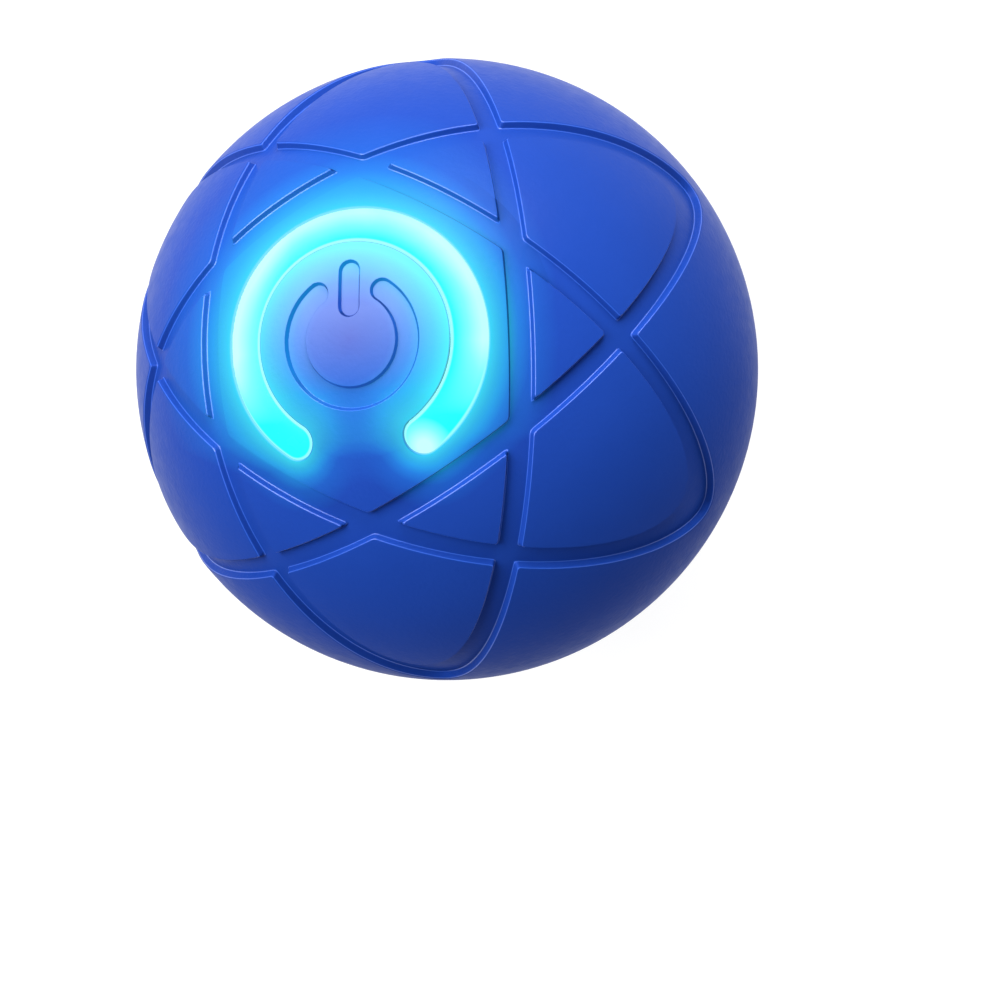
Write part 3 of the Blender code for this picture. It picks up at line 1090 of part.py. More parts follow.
def leads():
    """The motor's, battery's and charging board's wires, each from its terminal to the main board."""
    solder = BOARD_BOTTOM_Z - FIT_GAP
    plug_x, plug_y = MOTOR_PLUG_PLACE
    plug_edge = plug_x - MOTOR_PLUG_SIZE[0] / 2.0 - FIT_GAP
    plug_z = BOARD_BOTTOM_Z - MOTOR_PLUG_SIZE[2] / 2.0
    x = MOTOR_BACK_X - LEAD_RADIUS - BORE_GAP
    start_z = MOTOR_Z + TERMINAL_SIZE[2] / 2.0 + FIT_GAP
    can_top = MOTOR_Z + math.sqrt(MOTOR_RADIUS ** 2 - TERMINAL_SPREAD ** 2)
    turn_z = can_top + LEAD_RADIUS + LEAD_CLEARANCE
    for name, side, finish in (("motor_lead_red", 1.0, LEAD_RED), ("motor_lead_black", -1.0, LEAD_BLACK)):
        y = MOTOR_Y + side * TERMINAL_SPREAD
        end_y = plug_y + side * MOTOR_PLUG_SIZE[1] / 4.0
        curve_through([(x, y, start_z), (x, y, turn_z), (x + LEAD_TURN, y, turn_z + LEAD_TURN),
                       (plug_edge - LEAD_TURN, end_y, plug_z), (plug_edge, end_y, plug_z)], finish, name)
    cell_top = BATTERY_SIZE[2] / 2.0 + FIT_GAP
    cell_x = BATTERY_X + BATTERY_SIZE[0] / 2.0
    lead_x = BATTERY_PLUG_X + BATTERY_PLUG_SIZE[0] / 2.0 + FIT_GAP
    lead_z = BOARD_BOTTOM_Z - BATTERY_PLUG_SIZE[2] / 2.0
    for name, side, finish in (("battery_lead_red", 1.0, LEAD_RED), ("battery_lead_black", -1.0, LEAD_BLACK)):
        y = side * BATTERY_PLUG_SIZE[1] / 4.0
        curve_through([(cell_x, y, cell_top), (cell_x + LEAD_RADIUS, y, cell_top + LEAD_PITCH / 2.0),
                       (lead_x + LEAD_RADIUS * 2.0, y, lead_z - LEAD_RADIUS), (lead_x, y, lead_z)],
                      finish, name)
    x, y = LEAD_HOLE_PLACE
    low = CHARGE_BOARD_TOP_Z + FIT_GAP / 2.0
    curve_through([(x, y, low), (x, y, FLOOR_TOP_Z + LEAD_PITCH / 2.0), (x, y + LEAD_SIDE_STEP, 0.0),
                   (x, y + LEAD_SIDE_STEP, MOTOR_Z), (x, y + LEAD_SIDE_STEP, solder)],
                  LEAD_RED, "charge_lead")


def main():
    start()
    button = joint_at("button_press", (0.0, 0.0, BALL_RADIUS))
    plug_hinge = joint_at("plug_hinge", (HINGE_X, 0.0, HINGE_Z))
    axle_spin = joint_at("axle_spin", (0.0, 0.0, 0.0))
    idler_spin = joint_at("idler_spin", (0.0, *IDLER_CENTRE))
    rotor_spin = joint_at("rotor_spin", (0.0, *MOTOR_CENTRE))
    outer_skin()
    hang_on(button, power_button(), tact_switch())
    light_ring()
    upper_shell()
    lower_shell()
    seal_ring()
    shell_screws()
    main_board()
    charge_parts()
    port_plug(plug_hinge)
    drive_chassis()
    gearbox_cover()
    idler_train(idler_spin)
    drive_train(axle_spin)
    motor(rotor_spin)
    battery()
    leads()


main()
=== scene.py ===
"""Bouncing dog ball: the visual model over the CAD frame, its light and its camera.

Shapes are worked out in millimetres on a ball around the origin, as directions and a depth below the
ball's surface, and turned into metres where a mesh is made.
"""

import math

import bpy
import numpy as np
from mathutils import Matrix, Vector


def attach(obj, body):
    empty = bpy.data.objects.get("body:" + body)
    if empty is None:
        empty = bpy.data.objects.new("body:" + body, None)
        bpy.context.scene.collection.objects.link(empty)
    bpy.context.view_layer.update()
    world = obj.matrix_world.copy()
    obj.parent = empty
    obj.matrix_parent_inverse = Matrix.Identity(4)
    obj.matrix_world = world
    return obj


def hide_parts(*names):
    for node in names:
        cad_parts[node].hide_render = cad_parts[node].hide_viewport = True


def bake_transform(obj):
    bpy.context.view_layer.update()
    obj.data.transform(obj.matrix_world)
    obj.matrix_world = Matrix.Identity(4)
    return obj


MM = 0.001

# The ball and its channels. Lengths here and below are in millimetres unless something else is said.
BALL = 27.0
ORBIT_AZIMUTHS_DEG = (30.0, 90.0, 150.0)
ORBIT_OUTER_DEG = (81.3, 30.1)
ORBIT_INNER_DEG = (69.3, 25.7)
CHANNEL_DEPTHS = (0.56, 0.7)
DEEPER_FROM = 0.92
DEEPER_TO = 0.5
WALL_RUN_SHARE = 0.34
EDGE_EASE = 0.06
CORNER_ROUND = 0.22

# Light ring and the seam around it
RING_MID = 9.02
RING_HALF = 1.36
RING_GAP_DEG = 34.0
RING_SAG = 0.1
RING_FILLET = 0.1
SEAM_FILLET = 0.06
SEAM_GAP = 0.03
SKIRT = 1.3
PAD_RADIUS = RING_MID + RING_HALF

# Icon on the pad
ICON_DEPTH = 0.38
ICON_MID = 4.475
ICON_HALF = 0.905
ICON_GAP_DEG = 35.0
PILL_HALF = 0.85
PILL_LOW = 1.7
PILL_HIGH = 6.17
ICON_WALL_RUN = 0.15
ICON_EASE = 0.03

# Port and its stopper
OPENING = (16.2, 9.6)
OPENING_SLOT = (9.7, 2.3)
FLAP = (15.6, 9.0)
FLAP_TETHER = (8.7, 2.0)
WELL = (13.2, 7.2)
STUB = (11.8, 5.8)
PORT_FILLET = 0.25
LEDGE_Z = -24.6
WELL_FLOOR_Z = -22.9
FLAP_BACK_Z = -24.75
STUB_TOP_Z = -23.6
STUB_FILLET = 0.3
HINGE_X = -8.8
HINGE_Z = -25.2
KNUCKLE_RADIUS = 0.52
KNUCKLE_FILLET = 0.15

# Mesh
SPHERE_LEVEL = 5
FINE_BANDS = (1.0, 0.6)
CHANNEL_STEP = 0.01
ICON_STEP = 0.005
TONGUE_FROM_Y = -7.0
SEAM_BAND = 0.3
SNAP_WITHIN = 0.036
NUDGE = 0.0005
ON_RIM = 0.03
ON_WELL_RIM = 0.05
BACK_Z = -0.12
NORMAL_STEP = 0.01
NEAR_AXIS = 0.9
TINY_AREA = 1e-6

# Rubber. Here and below, MOTTLE, CLOUD, HAZE and GRAIN are scales of noises, and LIFT is in metres.
RUBBER_COLOURS = ((0.0092, 0.043, 0.282), (0.0112, 0.049, 0.312))
RUBBER_MOTTLE = 180.0
RUBBER_CLOUD = 900.0
RUBBER_ROUGHNESS = (0.34, 0.42)
RUBBER_GRAIN = 2600.0
RUBBER_LIFT = 0.00003
RUBBER_BUMP = 0.8
RUBBER_IOR = 1.14
ROUNDED_IOR = 1.55
LIT_COLOUR = (0.085, 0.11, 0.34)
# Painted highlight: a lighter blue on rounded edges that face the light
EDGE_HIGHLIGHT_COLOUR = (0.014, 0.08, 0.48)
# Painted shade on the symbol's walls in the shade and on the hexagon's walls at the far right
SHADED_COLOUR = (0.004, 0.03, 0.2)
# Painted shade: thin dark lines round the symbol's disc
THIN_SHADE_COLOUR = (0.002, 0.014, 0.1)

# Cosines between the surface and the ball: on walls and off them, and where rounded edges start and end
LEVEL_SPAN = (0.55, 0.97)
ROUNDED_FROM = (0.60, 0.76)
ROUNDED_TO = (0.90, 0.975)

# Ways that a wall faces, with the cosines over which it turns there: away from the light, and up right
SHADED_WAY, SHADED_SPAN = (0.6, -0.8, 0.0), (-0.1, 0.2)
FAR_WAY, FAR_SPAN = (0.8, 0.6, 0.0), (0.5, 0.7)

# The walls of the symbol, of its disc and of the hexagon all lie within these distances of the button's axis
PAD_WALLS = 7.0
DISC_WALLS = 5.0
FAR_EDGE = 15.0
# From full to none as the surface gets level, for the thin lines of painted shade round the symbol's disc
THIN_SHADE_FADE = (1.0, 0.0, 0.4, 0.97)

# Fades: the value at the start, the value at the end, and where these two lie. Those along the ball's X and Y
# and its axis paint the light that falls on the pad, the sheen and the ring's light.
LIT_UP = (0.0, 1.9, -4.0, 8.0)
LIT_OUT = (1.0, 0.45, 4.0, 7.6)
GLOSS_IOR = (1.06, 1.14, -14.0, 4.0)
GLOW_INNER = (1.0, 0.0, RING_MID - RING_HALF, PAD_RADIUS)
GLOW_SLANT = (0.6, 1.05, -13.0, 13.0)
GLOW_FOOT = (0.62, 1.0, -9.6, -7.2)
CORNER_DOWN = (1.0, 0.0, -9.5, -5.0)
CORNER_RIGHT = (0.0, 1.0, -4.0, 4.0)
PAD_GLOW_RIGHT = (0.85, 1.12, -8.0, 8.0)
PAD_GLOW_UP = (1.0, 1.2, 0.0, 7.0)
PAD_GLOW_FOOT = (0.5, 1.0, -8.0, -4.0)
# Painted shade: the glow on the pad halves in a thin dark line along the seam with the ring
SEAM_SHADE_LINE = (0.5, 1.0, 0.09, 0.14)
BY_THE_RING = (1.0, 0.0, 0.3, 0.6)
WALL_LIGHT_FADE = (0.0, 1.0, 2.0, 4.6)
# How far the sheen's fade along Y leans with X
GLOSS_SLANT = 0.4

# The ring's light in the rubber, by distance from the ring's edge as a share of GLOW_REACH
GLOW_REACH = 8.0
GLOW_LEAST = 0.5
GLOW = ((0.0, (0.26, 0.90, 0.85)), (0.014, (0.05, 0.74, 0.48)), (0.03, (0.03, 0.70, 0.42)),
        (0.08, (0.03, 0.60, 0.37)), (0.156, (0.02, 0.47, 0.34)), (0.25, (0.012, 0.36, 0.36)),
        (0.39, (0.006, 0.18, 0.27)), (0.575, (0.002, 0.062, 0.13)), (1.0, (0.0, 0.0, 0.0)))
CORNER_TINT = (1.0, 0.97, 1.32)
OUTER_GLOW = 0.82
# Share of the ring's glow kept on steep walls away from the ring, which darkens them as painted shade
WALL_GLOW = 0.45
WALL_LIGHT = ((0.004, 0.20, 0.42), (0.012, 0.05, 0.28))
# Share of the glow taken off the hexagon's walls at the far right, a painted shade
FAR_WALL_SHADE = 0.6
# Half width of the stretch in the ring's gap over which the light of its two ends is blended
GAP_BLEND = 1.6

# Light guide
GUIDE_COLOUR = (0.01, 0.12, 0.13)
GUIDE_IOR = 1.22
GUIDE_HAZE = 700.0
GUIDE_ROUGHNESS = (0.22, 0.3)
GUIDE_GRAIN = 1800.0
GUIDE_LIFT = 0.00001
GUIDE_BUMP = 0.3
GUIDE_POWER = 0.97
GUIDE_LIGHT = ((0.0, (0.004, 0.92, 0.90)), (0.45, (0.22, 0.95, 0.95)), (1.0, (0.60, 0.96, 0.97)))
GUIDE_WHITE = 0.88
GUIDE_CLOUD = 220.0
GUIDE_CLOUD_RANGE = (0.92, 1.08, 0.35, 0.6)
GUIDE_OUTER = (0.0, 1.0, 8.0, 9.9)
GUIDE_RISE = (0.0, 1.0, -6.0, -0.5)
GUIDE_LEFT = (0.24, 0.0, -8.0, -5.0)
# Painted highlight: whiter light along the guide's rims
GUIDE_RIM_HIGHLIGHT = (0.0, 0.6, RING_HALF - 0.24, RING_HALF - 0.14)
GUIDE_TIP = (5.1, -8.3)
GUIDE_TIP_FADE = (1.0, 0.0, 0.5, 2.2)

# Finishes of the CAD nodes that are still shown: the first rule that fits the start of a node's name counts
EVEN = (1.0, 1.0, 1.0)
MOULDED_MOTTLE = 260.0
MOULDED_UNEVEN = (-0.05, 0.07)
MOULDED_BUMP = 0.4
REPLACED = ("outer_skin", "power_button", "light_ring", "port_plug")
FINISH_RULES = (
    (("upper_shell", "lower_shell"), "hard_shell"),
    (("seal_ring",), "seal"),
    (("main_board", "charge_board"), "board"),
    (("controller_chip", "motion_sensor", "switch_body", "motor_end_cap"), "black_resin"),
    (("led_",), "lamp_resin"),
    (("battery_connector", "motor_connector", "switch_plunger"), "connector_resin"),
    (("drive_chassis", "gearbox_cover"), "chassis_resin"),
    (("idler_gear", "output_gear"), "gear_resin"),
    (("battery_pad",), "foam"),
    (("motor_lead_red", "battery_lead_red"), "red_wire"),
    (("motor_lead_black", "battery_lead_black", "charge_lead"), "black_wire"),
    (("battery",), "cell_case"),
    (("eccentric_weight", "axle_bush", "motor_pinion"), "brass"),
    (("motor_armature",), "copper"),
    (("",), "steel"),
)
CAD_FINISHES = {
    "hard_shell": dict(name="grey_shell", dark=(0.60, 0.62, 0.65), light=(0.72, 0.74, 0.77), roughness=0.45),
    "seal": dict(name="black_seal", dark=(0.012, 0.012, 0.013), light=(0.028, 0.028, 0.03), roughness=0.6),
    "board": dict(name="green_board", dark=(0.010, 0.15, 0.045), light=(0.028, 0.24, 0.085),
                  roughness=0.38, grain=900.0, coat=0.3),
    "black_resin": dict(name="black_resin", dark=(0.014, 0.014, 0.016), light=(0.03, 0.03, 0.033),
                        roughness=0.5),
    "lamp_resin": dict(name="lamp_resin", dark=(0.80, 0.84, 0.74), light=(0.90, 0.93, 0.85),
                       roughness=0.3, coat=0.5),
    "connector_resin": dict(name="ivory_plug", dark=(0.74, 0.72, 0.64), light=(0.85, 0.83, 0.76),
                            roughness=0.45),
    "chassis_resin": dict(name="black_chassis", dark=(0.035, 0.035, 0.04), light=(0.06, 0.06, 0.066),
                          roughness=0.5),
    "gear_resin": dict(name="ivory_gear", dark=(0.76, 0.72, 0.60), light=(0.86, 0.83, 0.73), roughness=0.4),
    "foam": dict(name="grey_foam", dark=(0.07, 0.07, 0.075), light=(0.15, 0.15, 0.16),
                 roughness=0.85, grain=3000.0, lift=0.00008),
    "red_wire": dict(name="red_wire", dark=(0.42, 0.012, 0.012), light=(0.58, 0.025, 0.02), roughness=0.4),
    "black_wire": dict(name="black_wire", dark=(0.012, 0.012, 0.013), light=(0.028, 0.028, 0.03),
                       roughness=0.4),
    "cell_case": dict(name="cell_case", dark=(0.48, 0.49, 0.51), light=(0.62, 0.63, 0.65),
                      roughness=0.32, grain=700.0, metallic=0.9, lift=0.00004),
    "brass": dict(name="turned_brass", dark=(0.60, 0.42, 0.16), light=(0.74, 0.55, 0.24),
                  roughness=0.3, grain=1400.0, metallic=1.0, lift=0.00001, stretch=(8.0, 1.0, 1.0)),
    "copper": dict(name="copper_coils", dark=(0.62, 0.24, 0.10), light=(0.80, 0.38, 0.18),
                   roughness=0.35, grain=2200.0, metallic=1.0, lift=0.00006, stretch=(6.0, 1.0, 1.0)),
    "steel": dict(name="bright_steel", dark=(0.50, 0.50, 0.51), light=(0.60, 0.60, 0.61),
                  roughness=0.3, grain=1400.0, metallic=1.0, lift=0.00001),
}

# The camera, in metres, from the ball's place and size in the photograph
CAMERA_PLACE = (0.049680, -0.017894, 0.176543)
CAMERA_AXES = ((0.96115, -0.03402, -0.27392), (0.05920, 0.99469, 0.08416), (0.26960, -0.09711, 0.95806))
CAMERA_LENS = 75.61
CAMERA_SENSOR = 36.0
CAMERA_SHIFT = (0.0529, -0.1308)
CAMERA_NEAR = 0.005

# Studio: the lights' places are along the camera's directions, and all lengths here are in metres
LIGHT_SIZE = 0.3
LIGHTS = (("key", (-0.268, 0.081, 0.352), 3.2), ("top", (0.04, 0.36, 0.27), 2.7))
WORLD_COLOUR = (0.92, 0.94, 1.0)
# From the horizon to overhead and straight below, by the Z of the direction
WORLD_FADE = (0.6, 0.12, 0.08, 0.4)
FLOOR_HALF = 4.0
FLOOR_MOTTLE = 6.0
FLOOR_COLOURS = ((0.11, 0.11, 0.11), (0.12, 0.12, 0.12))
FLOOR_ROUGHNESS = 0.9
# The floor's own light, by distance from its middle
FLOOR_FADE = (0.95, 0.5, 0.12, 0.4)


def unit(points):
    return points / np.linalg.norm(points, axis=-1, keepdims=True)


def smoothstep(share):
    share = np.clip(share, 0.0, 1.0)
    return share * share * (3.0 - 2.0 * share)


def fillet(radius, inside):
    """Depth of a rounded edge of this radius, at a distance inside the edge."""
    short = np.clip(radius - inside, 0.0, radius)
    return radius - np.sqrt(radius * radius - short * short)


def orbit_edge(turns, azimuth_deg, axes_deg):
    """Distance from an ellipse drawn across the button's axis, negative inside it."""
    cos, sin = math.cos(math.radians(azimuth_deg)), math.sin(math.radians(azimuth_deg))
    a, b = (math.sin(math.radians(angle)) for angle in axes_deg)
    x = turns[:, 0] * cos + turns[:, 1] * sin
    y = turns[:, 1] * cos - turns[:, 0] * sin
    size = np.maximum(np.hypot(x / a, y / b), 1e-6)
    slope = (x / (a * a * size)) ** 2 + (y / (b * b * size)) ** 2 - size * size
    return BALL * (size - 1.0) / np.sqrt(np.maximum(slope, 1e-4))


def soft_step(inside, run, ease):
    """A straight ramp from 0 to 1 over run, with both its corners rounded over ease."""
    def area(at):
        return np.where(at < run, np.maximum(at, 0.0) ** 2 / (2.0 * run), at - run / 2.0)
    return (area(inside + ease) - area(inside - ease)) / (2.0 * ease)


def channel_inside(turns):
    """Distance inside the nearest channel's edge, with the corners where channels meet rounded."""
    inside = None
    for azimuth in ORBIT_AZIMUTHS_DEG:
        here = np.minimum(-orbit_edge(turns, azimuth, ORBIT_OUTER_DEG),
                          orbit_edge(turns, azimuth, ORBIT_INNER_DEG))
        if inside is None:
            inside = here
            continue
        near = np.maximum(CORNER_ROUND - np.abs(inside - here), 0.0)
        inside = np.maximum(inside, here) + near * near / (4.0 * CORNER_ROUND)
    return inside


def channel_bottom(turns):
    """The channels' full depth, which grows from the front towards the ball's middle."""
    share = smoothstep((DEEPER_FROM - np.abs(turns[:, 2])) / (DEEPER_FROM - DEEPER_TO))
    return CHANNEL_DEPTHS[0] + (CHANNEL_DEPTHS[1] - CHANNEL_DEPTHS[0]) * share


def channel_depth(turns):
    bottom = channel_bottom(turns)
    return bottom * soft_step(channel_inside(turns), WALL_RUN_SHARE * bottom, EDGE_EASE)


def c_band(turns, mid, half, gap_half_deg, side):
    """Distance from a round-ended C that opens towards side times Y, negative inside it."""
    across, along = np.abs(BALL * turns[:, 0]), side * BALL * turns[:, 1]
    gap = math.radians(gap_half_deg)
    end = np.hypot(across - mid * math.sin(gap), along - mid * math.cos(gap))
    arc = np.abs(np.hypot(across, along) - mid)
    in_gap = across * math.cos(gap) - along * math.sin(gap) < 0.0
    return np.where(in_gap, end, arc) - half


def obround(turns, size):
    """Distance from a slot with round ends along X, negative inside it."""
    half = size[1] / 2.0
    reach = np.maximum(np.abs(BALL * turns[:, 0]) - (size[0] / 2.0 - half), 0.0)
    return np.hypot(reach, BALL * turns[:, 1]) - half


def slot_box(turns, size):
    """Distance from a strip from the middle to -X, negative inside it."""
    x, y = BALL * turns[:, 0], BALL * turns[:, 1]
    return np.maximum(np.maximum(-x - size[0], x), np.abs(y) - size[1])


def ring_edge(turns):
    return np.where(turns[:, 2] > 0.0, c_band(turns, RING_MID, RING_HALF, RING_GAP_DEG, -1.0), BALL)


def icon_edge(turns):
    """Distance from the nearer edge of the open circle and its bar, on the front."""
    x, y = BALL * turns[:, 0], BALL * turns[:, 1]
    low, high = PILL_LOW + PILL_HALF, PILL_HIGH - PILL_HALF
    pill = np.hypot(x, y - np.clip(y, low, high)) - PILL_HALF
    circle = c_band(turns, ICON_MID, ICON_HALF, ICON_GAP_DEG, 1.0)
    return np.where(turns[:, 2] > 0.0, np.minimum(pill, circle), BALL)


def icon_depth(turns):
    return ICON_DEPTH * soft_step(-icon_edge(turns), ICON_WALL_RUN, ICON_EASE)


def opening_edge(turns):
    edge = np.minimum(obround(turns, OPENING), slot_box(turns, OPENING_SLOT))
    return np.where(turns[:, 2] < 0.0, edge, BALL)


def flap_edge(turns):
    return np.minimum(obround(turns, FLAP), slot_box(turns, FLAP_TETHER))


def well_edge(turns):
    return obround(turns, WELL)


def stub_edge(turns):
    return obround(turns, STUB)


def skin_depth(turns):
    seam = fillet(SEAM_FILLET, ring_edge(turns) - SEAM_GAP) + fillet(PORT_FILLET, opening_edge(turns))
    return channel_depth(turns) + seam


def pad_depth(turns):
    return icon_depth(turns) + fillet(SEAM_FILLET, ring_edge(turns) - SEAM_GAP)


def ring_depth(turns):
    inside = -ring_edge(turns)
    return RING_SAG * np.clip(1.0 - inside / RING_HALF, 0.0, 1.0) ** 2 + fillet(RING_FILLET, inside)


def flap_depth(turns):
    return fillet(PORT_FILLET, -flap_edge(turns))


def halve(points, triangles, marked):
    """Cuts the marked triangles in four, and their neighbours in two or four to match."""
    while True:
        edges = np.sort(triangles[:, [[0, 1], [1, 2], [2, 0]]], axis=2).astype(np.int64)
        keys = edges[:, :, 0] * len(points) + edges[:, :, 1]
        cut = np.unique(keys[marked])
        hit = np.isin(keys, cut)
        grown = marked | (hit.sum(1) >= 2)
        if grown.sum() == marked.sum():
            break
        marked = grown
    middles = unit(points[cut // len(points)] + points[cut % len(points)])
    place = np.searchsorted(cut, keys) + len(points)
    a, b, c = triangles[marked].T
    ab, bc, ca = place[marked].T
    parts = [np.stack(corners, 1) for corners in
             ((a, ab, ca), (ab, b, bc), (ca, bc, c), (ab, bc, ca))]
    for side in range(3):
        chosen = ~marked & hit[:, side]
        near, far, apex = (triangles[chosen, (side + k) % 3] for k in range(3))
        middle = place[chosen, side]
        parts += [np.stack((near, middle, apex), 1), np.stack((middle, far, apex), 1)]
    parts.append(triangles[~marked & ~hit.any(1)])
    return np.concatenate((points, middles)), np.concatenate(parts)


def icosphere(level):
    gold = (1.0 + math.sqrt(5.0)) / 2.0
    points = unit(np.array([(-1, gold, 0), (1, gold, 0), (-1, -gold, 0), (1, -gold, 0),
                            (0, -1, gold), (0, 1, gold), (0, -1, -gold), (0, 1, -gold),
                            (gold, 0, -1), (gold, 0, 1), (-gold, 0, -1), (-gold, 0, 1)], float))
    triangles = np.array([(0, 11, 5), (0, 5, 1), (0, 1, 7), (0, 7, 10), (0, 10, 11),
                          (1, 5, 9), (5, 11, 4), (11, 10, 2), (10, 7, 6), (7, 1, 8),
                          (3, 9, 4), (3, 4, 2), (3, 2, 6), (3, 6, 8), (3, 8, 9),
                          (4, 9, 5), (2, 4, 11), (6, 2, 10), (8, 6, 7), (9, 8, 1)])
    for _ in range(level):
        points, triangles = halve(points, triangles, np.ones(len(triangles), bool))
    return points, triangles


def on_line(spots, field):
    """Points moved along the slope of field to where it is zero."""
    first, second = tangents(spots)
    step = NORMAL_STEP / BALL
    slope_first = (field(unit(spots + step * first)) - field(unit(spots - step * first))) / 2.0 / step
    slope_second = (field(unit(spots + step * second)) - field(unit(spots - step * second))) / 2.0 / step
    steep = np.maximum(slope_first ** 2 + slope_second ** 2, 1.0)
    move = (-field(spots) / steep)[:, None]
    return unit(spots + move * (slope_first[:, None] * first + slope_second[:, None] * second))


def snap(points, field):
    """Moves the points that lie close to the field's zero line onto it, against sliver triangles."""
    value = field(points)
    close = np.abs(value) < SNAP_WITHIN
    points[close] = on_line(points[close], field)
    value[close] = 0.0
    return value


def split(points, triangles, value):
    """Cuts the triangles along the line where value is zero: new points, those below and those above."""
    sign = np.sign(value)
    sides = sign[triangles]
    low = (sides <= 0).all(1)
    high = (sides >= 0).all(1) & ~low
    made, extra = {}, []
    halves = ([], [])
    for corners in triangles[~low & ~high].tolist():
        loops = ([], [])
        for here, after in zip(corners, corners[1:] + corners[:1]):
            for half, keeps in ((0, sign[here] <= 0), (1, sign[here] >= 0)):
                if keeps:
                    loops[half].append(here)
            if sign[here] * sign[after] < 0:
                key = (min(here, after), max(here, after))
                if key not in made:
                    share = value[key[0]] / (value[key[0]] - value[key[1]])
                    made[key] = len(points) + len(extra)
                    extra.append(points[key[0]] * (1.0 - share) + points[key[1]] * share)
                loops[0].append(made[key])
                loops[1].append(made[key])
        for half, loop in zip(halves, loops):
            half += [(loop[0], loop[k], loop[k + 1]) for k in range(1, len(loop) - 1)]
    if extra:
        points = np.concatenate((points, unit(np.array(extra))))
    below = np.concatenate((triangles[low], np.array(halves[0], int).reshape(-1, 3)))
    above = np.concatenate((triangles[high], np.array(halves[1], int).reshape(-1, 3)))
    return points, below, above


def tangents(turns):
    side = np.where(np.abs(turns[:, 2:]) < NEAR_AXIS, ((0.0, 0.0, 1.0),), ((1.0, 0.0, 0.0),))
    first = unit(np.cross(side, turns))
    return first, np.cross(turns, first)


def surface(turns, triangles, depth):
    """A piece of the ball pushed in by depth: its points, triangles and normals."""
    used, triangles = np.unique(triangles, return_inverse=True)
    triangles = triangles.reshape(-1, 3)
    turns = turns[used]

    def at(places):
        places = unit(places)
        return places * (BALL - depth(places))[:, None]

    first, second = tangents(turns)
    step = NORMAL_STEP / BALL
    normals = unit(np.cross(at(turns + step * first) - at(turns - step * first),
                            at(turns + step * second) - at(turns - step * second)))
    return at(turns), triangles, normals


def level_piece(turns, triangles, height, normal_z, rounding=None):
    """A piece of the ball dropped flat along Z to this height, facing normal_z."""
    used, triangles = np.unique(triangles, return_inverse=True)
    triangles = triangles.reshape(-1, 3)
    points = turns[used] * BALL
    points[:, 2] = height
    if rounding is not None:
        points[:, 2] -= normal_z * rounding(turns[used])
    if normal_z > 0.0:
        triangles = triangles[:, ::-1]
    return points, triangles, mesh_normals(points, triangles)


def mesh_normals(points, triangles):
    corners = points[triangles]
    facing = np.cross(corners[:, 1] - corners[:, 0], corners[:, 2] - corners[:, 0])
    normals = np.zeros_like(points)
    for k in range(3):
        np.add.at(normals, triangles[:, k], facing)
    return normals / np.maximum(np.linalg.norm(normals, axis=1, keepdims=True), 1e-12)


def wall(piece, hangs, lower):
    """A wall from the piece's rim, where hangs says so, down to the points that lower gives."""
    points, triangles, _ = piece
    edges = np.concatenate((triangles[:, [0, 1]], triangles[:, [1, 2]], triangles[:, [2, 0]]))
    keys = np.sort(edges, 1).astype(np.int64) @ (len(points), 1)
    _, first, count = np.unique(keys, return_index=True, return_counts=True)
    rim = edges[first[count == 1]]
    rim = rim[hangs(points[rim[:, 0]]) & hangs(points[rim[:, 1]])]
    used, rim = np.unique(rim, return_inverse=True)
    a, b = rim.reshape(-1, 2).T
    top = points[used]
    number = len(used)
    faces = np.concatenate((np.stack((a, a + number, b + number), 1), np.stack((a, b + number, b), 1)))
    places = np.concatenate((top, lower(top)))
    return places, faces, mesh_normals(places, faces)


def to_height(height):
    """Points at this height, straight above or below those given."""
    def drop(points):
        points = points.copy()
        points[:, 2] = height
        return points
    return drop


def down_skirt(points):
    return points - unit(points) * SKIRT


def turned_bar(centre, radius, half_length, edge, segments=48, bend_steps=6):
    """A bar along Y with rounded ends."""
    bend = np.linspace(0.0, math.pi / 2.0, bend_steps)
    corner = [(radius - edge + edge * math.sin(t), half_length - edge + edge * math.cos(t)) for t in bend]
    profile = [(0.0, half_length)] + corner + [(r, -y) for r, y in corner[::-1]] + [(0.0, -half_length)]
    angles = np.arange(segments) * 2.0 * math.pi / segments
    points = np.array([(centre[0] + r * math.sin(t), y, centre[1] + r * math.cos(t))
                       for r, y in profile for t in angles])
    faces = []
    for row in range(len(profile) - 1):
        for k in range(segments):
            a, b = row * segments + k, row * segments + (k + 1) % segments
            faces += [(a, b, b + segments), (a, b + segments, a + segments)]
    faces = np.array(faces)
    return points, faces, mesh_normals(points, faces)


def merge(*pieces):
    """Several pieces, each its points, triangles and normals, as one."""
    points, triangles, normals, start = [], [], [], 0
    for piece in pieces:
        points.append(piece[0])
        triangles.append(piece[1] + start)
        normals.append(piece[2])
        start += len(piece[0])
    return np.concatenate(points), np.concatenate(triangles), np.concatenate(normals)


def spread(points, triangles, depth):
    """How much the depth changes within each triangle."""
    values = depth(points)[triangles]
    return values.max(1) - values.min(1)


def clear_band(points, line, half):
    """Moves the points inside a band to its nearer side, so that the light on its edges stays even."""
    value = line(points)
    for side in (-1.0, 1.0):
        near = (np.abs(value) < half) & (value * side >= 0.0)
        for _ in range(2):
            points[near] = on_line(points[near], lambda turns: line(turns, ease=-side * half))


def score(points, triangles, field):
    """Puts a line of edges where field is zero."""
    value = field(points)
    value[np.abs(value) < NUDGE] = 0.0
    number = len(points)
    points, below, above = split(points, triangles, value)
    points[number:] = on_line(points[number:], field)
    return points, np.concatenate((below, above))


